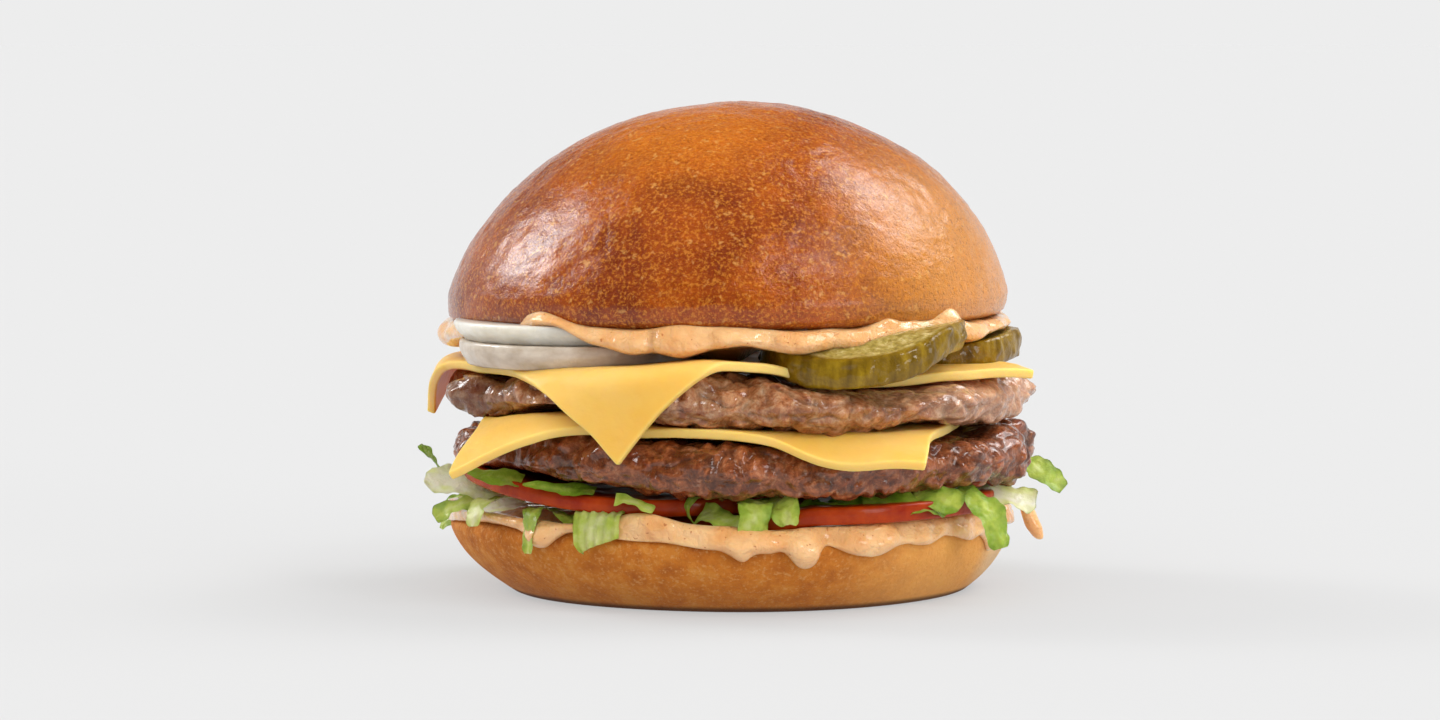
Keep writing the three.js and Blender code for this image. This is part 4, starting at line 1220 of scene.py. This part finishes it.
# creases: (angle, spread, how far in)
CREASES = [
    (-104.2, 0.9, -1.4),
    (-92.5, 1.1, -0.6),
    (-81, 1.2, -0.7),
    (-68, 1.1, -0.6),
    (-33.5, 1.2, -0.8),
    (20, 1.5, -0.8),
    (92, 1.6, -0.9),
]
# the lip's section: (part of the way out, part of the way up)
CROWN_LIP = [(0, 0.04), (0.45, 0), (0.85, 0.1), (1, 0.36), (0.95, 0.62), (0.76, 0.82), (0.4, 0.96), (0, 1)]
LIP_STEPS = 44
print("lobes under the crown:", len(CROWN_SAUCE))

# %% [markdown]
# ## The lip under the crown
#
# Each point of the spun lip knows its own step, and from that its place in the lip's section. The
# section is stretched between the lobes' foot and crest, and it hugs the crust behind it.


# %% Shape of the sauce under the crown
SECTION_START = 70  # the spun lip's points are numbered by their distance from the axis


def lip_outline(inner, start):
    """Inner points, then one point for each step along the lip, numbered by its distance from start."""
    return inner + [(start + k, 0) for k in range(LIP_STEPS + 1)]


def shape_crown_sauce(point, distance, angle):
    step = round(distance - SECTION_START)
    if step >= 0:
        outward, upward = through(CROWN_LIP, step / LIP_STEPS)
        floor, ceiling = CROWN_BASE - 3.2, CROWN_BASE - GAP
        foot = floor - lobed(CROWN_SAUCE, 4, angle)
        crest = ceiling + max(0.3, 0.7 + lobed(CROWN_SAUCE, 3, angle))
        outside = crown_radius(CROWN_BASE) + 1.1 + lobed(CROWN_SAUCE, 2, angle) + lobed(CREASES, 2, angle)
        height = blend(foot, crest, upward)
        crust_height = max(CROWN_BASE, height)
        hug = crown_radius(crust_height) - 0.9
        inner = blend(crown_radius(CROWN_BASE) - 4, hug, between(0.5, 0.95, upward))
        bare = nearness(angle, -151, 13)
        reach = blend(inner, max(outside, hug + blend(1.5, -1.5, bare)), outward)
        widen(point, reach / distance * crown_unevenness(angle))
        point.z = height
        swell = 0.5 * grain(point, 5.5, 4.4) + 0.3 * grain(point, 2.3, 1.7) + 0.1 * grain(point, 1, 3.9)
        widen(point, 1 + swell * outward / reach)
        point.z += swell * 0.6 * outward - crown_sag(angle)
    elif point.z < CROWN_BASE - 0.5:
        # at the front, the sauce fills the hollow between the crown and the cheese
        point.z -= 6.2 * nearness(angle, -90, 12)
    point.x += crown_lean(CROWN_BASE)


lip_base = CROWN_BASE - 0.9
crown_sauce_outline = (
    lip_outline([(36, lip_base)], SECTION_START) + [(36, CROWN_BASE - GAP), (36, lip_base)]
)
crown_sauce = shaped(spun(crown_sauce_outline, 8), shape_crown_sauce)
print("the band under the crown has", len(crown_sauce.faces), "faces")

# %% [markdown]
# ## Sauce on the heel
#
# The lower sauce covers the heel's cut face, and runs over its rim and down its side. One drip
# hangs free at the far right.

# %% Sauce on the heel in numbers
# lobes: (angle, spread, out, drop, rise)
HEEL_SAUCE = [
    (-176, 9, 0.4, 0.6, 0.9),
    (-146, 13, 0.5, -1.2, 1.2),
    (-130.6, 3, 1.1, 1.8, 0.4),
    (-127.6, 2.6, 0.8, 1.3, 0.2),
    (-121, 6, 0.6, -0.9, 0.2),
    (-108, 9, 0.9, -0.1, 3.4),
    (-92, 8, 0.8, 1.2, 0.7),
    (-87.8, 2.3, 0.9, 2.1, 0),
    (-82, 4.5, 1.1, 1.6, -0.4),
    (-77, 1.7, 1.1, 3.2, -0.2),
    (-75.2, 1.5, 0.6, 2.4, 0),
    (-73.4, 1.7, 1.1, 3.2, -0.2),
    (-58, 22, 0, 0, 0.9),
    (-66, 4, 0.9, 1.3, -0.4),
    (-60, 6, 1.4, 2.8, -0.2),
    (-47.5, 5, 0.9, 1.8, 0.1),
    (-33, 6, 0.8, 1.9, 0.6),
    (-23, 3.6, 0.4, 4.6, 0.6),
    (-6, 8, 0.7, 1.4, 0.7),
    (14, 6, 0.8, 3.1, 0.9),
    (38, 5, 1.3, 4.4, 0.7),
    (62, 9, 0.7, 1.5, 1.2),
    (88, 5, 1.4, 5, 0.6),
    (112, 9, 0.9, 2, 1.1),
    (138, 5, 1.1, 3.9, 0.5),
    (160, 8, 0.6, 1.5, 0.9),
]
# the lip's section: (part of the way out, part of the way up)
HEEL_LIP = [
    (0, 0.5),
    (0, 0.16),
    (0.3, 0),
    (0.66, 0.05),
    (0.9, 0.28),
    (1, 0.6),
    (0.9, 0.84),
    (0.5, 1.02),
    (0.05, 1),
]
SAUCE_SURFACE = HEEL_TOP + 0.75
print("lobes on the heel:", len(HEEL_SAUCE))


# %% Shape of the sauce on the heel
HEEL_SECTION_START = 60


def shape_heel_sauce(point, distance, angle):
    step = round(distance - HEEL_SECTION_START)
    if step >= 0:
        outward, upward = through(HEEL_LIP, step / LIP_STEPS)
        foot = HEEL_RIM - 1.2 - lobed(HEEL_SAUCE, 3, angle)
        crest = HEEL_RIM + 0.9 + lobed(HEEL_SAUCE, 4, angle) * 0.8
        height = blend(foot, crest, upward)
        hug = heel_radius(min(height, HEEL_RIM)) - 0.35
        reach = blend(hug, hug + 1.6 + lobed(HEEL_SAUCE, 2, angle), outward)
        widen(point, reach / distance * heel_unevenness(angle))
        point.z = height
        point.x += heel_lean(height)
        swell = 0.55 * grain(point, 4.5, 7.7) + 0.34 * grain(point, 2.1, 3.2) + 0.12 * grain(point, 1, 6.6)
        widen(point, 1 + swell * outward / reach)
        point.z += swell * 0.7 * outward
    elif point.z > HEEL_TOP + 0.6:
        swell = lobed(HEEL_SAUCE, 4, angle) * 0.5 * between(38, 46, distance)
        point.z += swell + 0.3 * grain(point, 4, 2.5)
        # a heap of sauce lies under the raised side of the left tomato slice
        point.z += 3.0 * between(48, 41, distance) * between(-2, -14, point.x) * between(4, -6, point.y)


heel_sauce_outline = (
    lip_outline([(0, HEEL_TOP + 0.1), (44, HEEL_TOP + 0.1)], HEEL_SECTION_START)
    + [(distance, SAUCE_SURFACE + 0.4) for distance in (47.4, 46, 44)]
    + [(distance, SAUCE_SURFACE) for distance in (42, 40, 37, 33, 28, 22, 12, 0)]
)
heel_sauce = shaped(spun(heel_sauce_outline, 8), shape_heel_sauce)
print("the sauce on the heel has", len(heel_sauce.faces), "faces")

# %% [markdown]
# ## A free drip
#
# The drip is a drop's outline, spun and then drawn out to the side as it falls.

# %% Shape of the drip
DRIP_TOP = Vector((54.4, -10, 16.6))
DRIP_LENGTH = 7
DRIP_RADIUS = 1.5
DRIP_LEAN = 2.6
# (part of its radius, part of its length)
DRIP_MARKS = [
    (0, -1),
    (0.35, -0.99),
    (0.72, -0.9),
    (0.98, -0.68),
    (1, -0.45),
    (0.86, -0.2),
    (0.5, 0),
    (0, 0.02),
]


def shape_drip(point, distance, angle):
    share = max(0, -point.z / DRIP_LENGTH)
    widen(point, 1 + 0.12 * grain(point, 2, 5.1))
    point += DRIP_TOP + Vector((DRIP_LEAN * share**1.4, 0, 0))


drip_marks = [through(DRIP_MARKS, k / 28) for k in range(29)]
drip_outline = [(max(0, out) * DRIP_RADIUS, up * DRIP_LENGTH) for out, up in drip_marks]
drip = shaped(spun(drip_outline, 1, steps=24), shape_drip)
print("one free drip of", DRIP_LENGTH, "mm")

# %% [markdown]
# ## Glossy pink-orange sauce
#
# The sauce is an emulsion like mayonnaise: opaque, smooth and very glossy, with a soft glow.
# Clusters of tiny dimples break its highlights.

# %% Finish of the sauce
sauce_look = new_look(
    "burger sauce",
    Roughness=0.3,
    Specular_IOR_Level=0.2,
    Coat_Weight=1.0,
    Coat_Roughness=0.07,
    Subsurface_Weight=0.4,
    Subsurface_Radius=(0.005, 0.003, 0.0015),
    Subsurface_Scale=0.5,
)
sauce_colour = painted(sauce_look, spots(sauce_look, 6, detail=4), (0.35, "#dfa264"), (0.65, "#e9bb84"))
herbs = spread(sauce_look, spots(sauce_look, 0.9, detail=1), 0.7, 0.76)
sauce_colour = tinted(sauce_look, sauce_colour, "#b0602c", herbs, 0.7)
feed_main(sauce_look, Base_Color=sauce_colour)
relief(sauce_look, spots(sauce_look, 2.2, detail=3, roughness=0.6, warp=0.4), 0.9, coat_depth=0.07)
finished("sauce_under_crown", crown_sauce, sauce_look, "sauce", "sauce_upper")
finished("sauce_on_heel", heel_sauce, sauce_look, "sauce", "sauce_lower")
finished("sauce_free_drip", drip, sauce_look, "sauce", "sauce_drip")

# %% [markdown]
# ## Shredded lettuce
#
# Each shred is a strip of leaf, laid along a line that turns, falls and rolls. A few numbers
# describe each one, and a plain shred gives the numbers that most of them share.

# %% Numbers of a shred
# bend: where along a shred its fall starts and ends; swing: how far it turns sideways, in degrees
# tip: how much narrower its tip is; crinkle and ridged: its relief in mm
# rib: how strong its thick white rib is; slant: how slanting its cut end is
PLAIN = {"bend": (0, 1), "swing": 0, "tip": 0.25, "crinkle": 0.18, "rib": 0, "ridged": 0, "slant": 0}


def strip(start, heading, size, slopes, rolls, wave, green, **more):
    """A shred's numbers; slopes and rolls say how it lies at its root, and how much more at its tip."""
    numbers = {"start": start, "heading": heading, "wave": wave, "green": green}
    numbers["long"], numbers["wide"] = size
    numbers["pitch"], numbers["fall"] = slopes
    numbers["roll"], numbers["curl"] = rolls
    return {**PLAIN, **numbers, **more}


print("a plain shred narrows by", PLAIN["tip"], "of its width")

# %% Shreds at the front
# start, heading, (length, width), (pitch, fall), (roll, curl), wave, green, and what isn't plain
SHREDS = [
    strip((-45.5, -13, 20.4), 180, (13, 4.5), (-10, -50), (-30, 30), 0.7, 0.95),
    strip((-40, -18, 20.2), 178, (15, 8), (-4, -6), (-28, -10), 0.5, 0.12, rib=0.5),
    strip((-41.5, -20, 18.2), 181, (12.4, 4.8), (0, 34), (-18, -30), 0.7, 0.7),
    strip((-36.5, -36.6, 23), 168, (10, 4.4), (-8, 0), (-34, 6), 0.4, 1),
    strip((-41.5, -25, 18.4), -140, (10, 4.6), (-12, 80), (0, 26), 0.4, 0.45, swing=46),
    strip((-36, -30, 18.5), 200, (8, 4), (0, 16), (-22, 0), 0.2, 0.02, rib=0.4),
    strip((-32.4, -35.4, 18.4), -122, (12.2, 4.6), (0, 84), (6, 24), 0.3, 0.75, bend=(0.15, 0.6), tip=0.4),
    strip((-33, -36.5, 18.2), -52, (12, 3.4), (0, 52), (-14, 40), 0.3, 0.8, swing=30),
    strip(
        (-20.4, -40.4, 18.6), -112, (14, 9), (0, 84), (0, 2), 0.2, 0.5,
        bend=(0.3, 0.66), tip=0.05, crinkle=0.22, ridged=0.24, slant=0.22,
    ),
    strip((-23.4, -43.8, 21.9), 171, (13, 4), (-3, -4), (-22, -8), 0.2, 1, tip=0.8),
    strip((-19.8, -48.6, 20.9), -6, (7.2, 3), (4, 22), (24, 12), 0.4, 0.7),
    strip((-2.6, -46, 21.2), -150, (14, 3.4), (-6, 150), (0, 20), 0.2, 0.9, bend=(0.1, 0.75)),
    strip((-5, -46.5, 18.3), -32, (9.5, 5), (4, 30), (30, 10), 0.6, 0.6),
    strip(
        (5.2, -41.5, 20.3), -94, (17, 6.4), (-2, 84), (0, -24), 0.9, 0.68,
        bend=(0.35, 0.72), crinkle=0.5,
    ),
    strip((8.2, -41, 20.6), -80, (13, 6), (-4, 62), (8, 30), 0.8, 0.66, bend=(0.4, 0.8), crinkle=0.5),
    strip((25, -41.6, 20), 190, (12.5, 5), (2, 6), (-24, 12), 0.5, 1),
    strip((23.5, -42.6, 19.9), 12, (16, 6.6), (2, 8), (24, 10), 0.6, 1, swing=10, tip=0.4),
    strip((32.6, -36.5, 20.8), -22, (9.5, 6.6), (2, 22), (30, 12), 0.4, 0.8),
    strip((40.3, -31, 20.6), -38, (15.5, 6), (6, 64), (12, 16), 0.6, 0.85, bend=(0.05, 0.8), crinkle=0.5),
    strip((39.5, -21.5, 20), 5, (16.5, 9), (2, 12), (24, 8), 0.8, 0.2, rib=0.4),
    strip(
        (44, 14, 20.3), -9, (21.5, 4.2), (-20, 60), (10, 50), 0.8, 0.7,
        bend=(0.2, 0.8), tip=-0.3, crinkle=0.6,
    ),
]
print("shreds at the front:", len(SHREDS))

# %% Shreds at the back
BACK_ANGLES = (14, 28, 42, 55, 68, 81, 94, 107, 120, 133, 146, 158, 169)
ROOT_RADIUS = 43
for i, angle in enumerate(BACK_ANGLES):
    turn = math.radians(angle)
    SHREDS.append(
        strip(
            start=(ROOT_RADIUS * math.cos(turn), ROOT_RADIUS * math.sin(turn), 16.3 + 0.8 * (i % 2)),
            heading=angle + (16, -12, 4)[i % 3],
            size=(14 + (i * 3) % 5, 7.4 + (i * 5) % 3),
            slopes=(0, (66, 16, 44, -14)[i % 4]),
            rolls=((4, -6)[i % 2], (-26, 30, 18)[i % 3]),
            wave=0.8,
            green=(0.8, 0.5, 0.95, 0.2)[i % 4],
            bend=(0.3, 0.8),
            crinkle=0.5,
        )
    )
print("shreds of lettuce:", len(SHREDS))

# %% [markdown]
# ## Laying a shred
#
# The way of a shred is followed in ten short steps, each in the direction that the shred has
# there. Across the way the strip rolls, its edges ruffle, and folds run over it like a real
# crinkled leaf.


# %% The way of a shred
def lay(point, shred, seed):
    """Puts a point of the flat strip (along, across, above) on the shred's way."""
    along, across, above = point
    low, high = shred["bend"]

    def turn_at(share):
        return math.radians(shred["heading"] + shred["swing"] * share)

    def slope_at(share):
        return math.radians(shred["pitch"] + shred["fall"] * between(low, high, share))

    way = Vector(shred["start"])
    for i in range(10):
        share = along / shred["long"] * (i + 0.5) / 10
        turn, slope = turn_at(share), slope_at(share)
        level = math.cos(slope)
        ahead = Vector((math.cos(turn) * level, math.sin(turn) * level, -math.sin(slope)))
        way += ahead * along / 10
    share = along / shred["long"]
    turn, slope = turn_at(share), slope_at(share)
    rolled = math.radians(shred["roll"] + shred["curl"] * share)
    side = Vector((-math.sin(turn), math.cos(turn), 0))
    up = Vector((math.sin(slope) * math.cos(turn), math.sin(slope) * math.sin(turn), math.cos(slope)))
    edge = 2 * across / shred["wide"]
    flat = Vector((along, across, seed))
    lift = above + shred["wave"] * math.sin(along * 0.8 + math.copysign(1, edge)) * edge**2
    lift += shred["ridged"] * math.sin(3.6 * across + 0.5 * math.sin(0.7 * along))
    folds = shred["crinkle"] * (grain(flat, 2.2) + 0.6 * grain(flat, 1.1, 4))
    ruffle = 0.25 * shred["wave"] * math.sin(along * 2.6 + 3 * edge) * abs(edge) ** 3
    lift += folds + ruffle
    ragged = 0.22 * grain(Vector((along, math.copysign(5, edge), seed)), 1.4) * abs(edge)
    out = across * (1 - shred["tip"] * share**3) * math.sqrt(1 - 0.75 * share**14) + ragged
    point.xyz = (
        way
        + side * (out * math.cos(rolled) - lift * math.sin(rolled))
        + up * (out * math.sin(rolled) + lift * math.cos(rolled))
    )


tip = Vector((SHREDS[0]["long"], 0, 0))
lay(tip, SHREDS[0], 0)
print("the first shred ends at", [round(value, 1) for value in tip], "mm")

# %% [markdown]
# ## A strip of leaf
#
# The strip is a flat grid, doubled to the thickness of a leaf. Some shreds come from the green
# frill and others from the thick white rib, so the thickness and a mark for the green follow the
# distance from the rib.


# %% Shape of a shred
def lettuce_shred(shred, seed):
    shape = bmesh.new()
    bmesh.ops.create_grid(shape, x_segments=44, y_segments=18, size=0.5)
    raised_points = set(doubled(shape))
    leafy = shape.verts.layers.float.new("green")
    for vert in shape.verts:
        along = (vert.co.x + 0.5) * shred["long"] * (1 - shred["slant"] * (0.5 + vert.co.y))
        across = vert.co.y * shred["wide"]
        edge = abs(vert.co.y) * 2
        rib = shred["rib"] * (1 - between(0.05, 0.5, edge))
        thick = (0.36 + 1.1 * rib) * (1 - 0.5 * edge**4)
        vert[leafy] = min(1, max(0, shred["green"] + 0.25 * (edge - 0.5) - 0.8 * rib))
        vert.co = (along, across, thick / 2 if vert in raised_points else -thick / 2)
        lay(vert.co, shred, seed)
    bmesh.ops.recalc_face_normals(shape, faces=shape.faces)
    return shape


trial = lettuce_shred(SHREDS[0], 3.7)
print("a shred has", len(trial.faces), "faces")
trial.free()

# %% [markdown]
# ## Crisp leaf
#
# A leaf is thin and lets light through, so its shaded side still glows green. The marked share of
# green turns into colour, from a watery white at the rib to a full green at the frill, in soft,
# uneven patches.

# %% Finish of the lettuce, and every shred
leaf = new_look(
    "crisp lettuce",
    Roughness=0.34,
    Specular_IOR_Level=0.5,
    Coat_Weight=0.3,
    Coat_Roughness=0.1,
    Subsurface_Weight=0.4,
    Subsurface_Radius=(0.002, 0.003, 0.001),
    Subsurface_Scale=0.6,
)
uneven = spread(leaf, spots(leaf, 3, detail=4), 0.3, 0.7, -0.16, 0.16)
uneven_green = sums(leaf, "ADD", marked(leaf, "green"), uneven)
blade = painted(leaf, uneven_green, (0.0, "#f2f1da"), (0.3, "#e8ecaa"), (0.62, "#cbdc58"), (1.0, "#8fb62a"))
feed_main(leaf, Base_Color=blade)
relief(leaf, spots(leaf, 1.4, detail=3), 0.35)
for number, shred in enumerate(SHREDS, start=1):
    shape = lettuce_shred(shred, number * 3.7)
    finished(f"lettuce_shred_{number:02d}", shape, leaf, "lettuce", f"lettuce_{number:02d}")

# %% [markdown]
# ## Table
#
# A table of pale acrylic, lit a little from below, keeps the shadows soft and lights the
# undersides.

# %% Floor
scene = bpy.context.scene
scene.view_settings.view_transform = "Standard"

floor_shape = bmesh.new()
bmesh.ops.create_grid(floor_shape, x_segments=1, y_segments=1, size=60)
floor_mesh = bpy.data.meshes.new("studio_floor")
floor_shape.to_mesh(floor_mesh)
floor_shape.free()
floor = bpy.data.objects.new("studio_floor", floor_mesh)
scene.collection.objects.link(floor)
pale = new_look("lit acrylic", Roughness=1.0, Specular_IOR_Level=0.0, Base_Color=(0.2, 0.2, 0.2, 1))
feed_main(pale, Emission_Color=(1, 1, 1, 1), Emission_Strength=0.462)
floor_mesh.materials.append(pale)
floor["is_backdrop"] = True
print("the floor is", round(floor.dimensions.x), "m wide")

# %% [markdown]
# ## Room
#
# The room looks white, but its ceiling and its front are dim, as in a real studio, so the glossy
# crust mirrors little but the softboxes. Seen directly, it is as bright as the floor, so the far
# edge of the floor doesn't show.

# %% White room
BACKDROP = 0.847  # the brightness of the room where it is seen directly

room = bpy.data.worlds.new("white room")
scene.world = room
room.use_nodes = True
nodes, links = room.node_tree.nodes, room.node_tree.links
facing = nodes.new("ShaderNodeTexCoord")
parts = nodes.new("ShaderNodeSeparateXYZ")
links.new(facing.outputs["Generated"], parts.inputs[0])


def fading(axis, start, end, first, last):
    """A brightness that goes from first to last as a direction turns from start to end on an axis."""
    fade = nodes.new("ShaderNodeMapRange")
    fade.interpolation_type = "SMOOTHSTEP"
    for name, number in zip(("From Min", "From Max", "To Min", "To Max"), (start, end, first, last)):
        fade.inputs[name].default_value = number
    links.new(parts.outputs[axis], fade.inputs["Value"])
    return fade.outputs["Result"]


lit_walls = nodes.new("ShaderNodeMath")
lit_walls.operation = "MULTIPLY"
links.new(fading("Z", 0.05, 0.55, BACKDROP, 0.04), lit_walls.inputs[0])
links.new(fading("Y", -0.5, 0.6, 0.12, 1), lit_walls.inputs[1])
seen_directly = nodes.new("ShaderNodeLightPath")
shown_room = nodes.new("ShaderNodeMix")
shown_room.inputs["B"].default_value = BACKDROP
links.new(seen_directly.outputs["Is Camera Ray"], shown_room.inputs["Factor"])
links.new(lit_walls.outputs["Value"], shown_room.inputs["A"])
links.new(shown_room.outputs["Result"], nodes["Background"].inputs["Color"])
print("the room has", len(nodes), "nodes")

# %% [markdown]
# ## Lamps
#
# A sun with a wide angle acts as a big softbox and lights the whole floor evenly. The light that
# the ceiling and the walls send back is soft, and it isn't seen in reflections.


# %% Softboxes
def softbox(name, towards, strength, width, mirrored=True):
    """A soft lamp that shines from a direction. width is the angle that it fills."""
    lamp = bpy.data.lights.new(name, "SUN")
    lamp.energy = strength
    lamp.angle = math.radians(width)
    holder = bpy.data.objects.new(name, lamp)
    holder.rotation_euler = Vector(towards).to_track_quat("Z", "Y").to_euler()
    holder.location = Vector(towards)
    holder.visible_glossy = mirrored
    scene.collection.objects.link(holder)
    holder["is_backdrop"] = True


LEFT, RIGHT = (-0.76, 0.33, 0.559), (0.593, 0.34, 0.73)
softbox("left_softbox", LEFT, 1.15, 30)
softbox("left_softbox_core", LEFT, 0.45, 10)
softbox("right_softbox", RIGHT, 1.35, 40)
softbox("right_softbox_core", RIGHT, 0.25, 12)
softbox("front_right_softbox", (0.714, -0.67, 0.211), 0.45, 20)
softbox("front_sparkle", (0.498, -0.453, 0.74), 0.32, 11)
softbox("right_bounce", (0.9, -0.3, 0.4), 1.0, 80, mirrored=False)
softbox("ceiling_bounce", (0, 0.1, 1), 2.2, 140, mirrored=False)
softbox("front_bounce", (-0.1, -0.9, 0.45), 1.7, 110, mirrored=False)

# %% [markdown]
# ## Camera
#
# A long lens from a little above the stack's middle, as for food on a menu, keeps the layers
# level and the dome round.

# %% Product camera
camera = bpy.data.cameras.new("product_camera")
camera.lens = 115.4
camera.clip_end = 200
viewer = bpy.data.objects.new("product_camera", camera)
viewer.location = (-0.00148, -0.850, 0.1012)
viewer.rotation_euler = (math.radians(86), 0, 0)
scene.collection.objects.link(viewer)
scene.camera = viewer
print("camera", round(viewer.location.length, 3), "m away, lens", camera.lens)

# %% Sizes, and the end
shown_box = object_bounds()
for name, corners in (("solids", solid_box), ("shown", shown_box)):
    print(name, [[round(value * 1000, 1) for value in corner] for corner in corners])
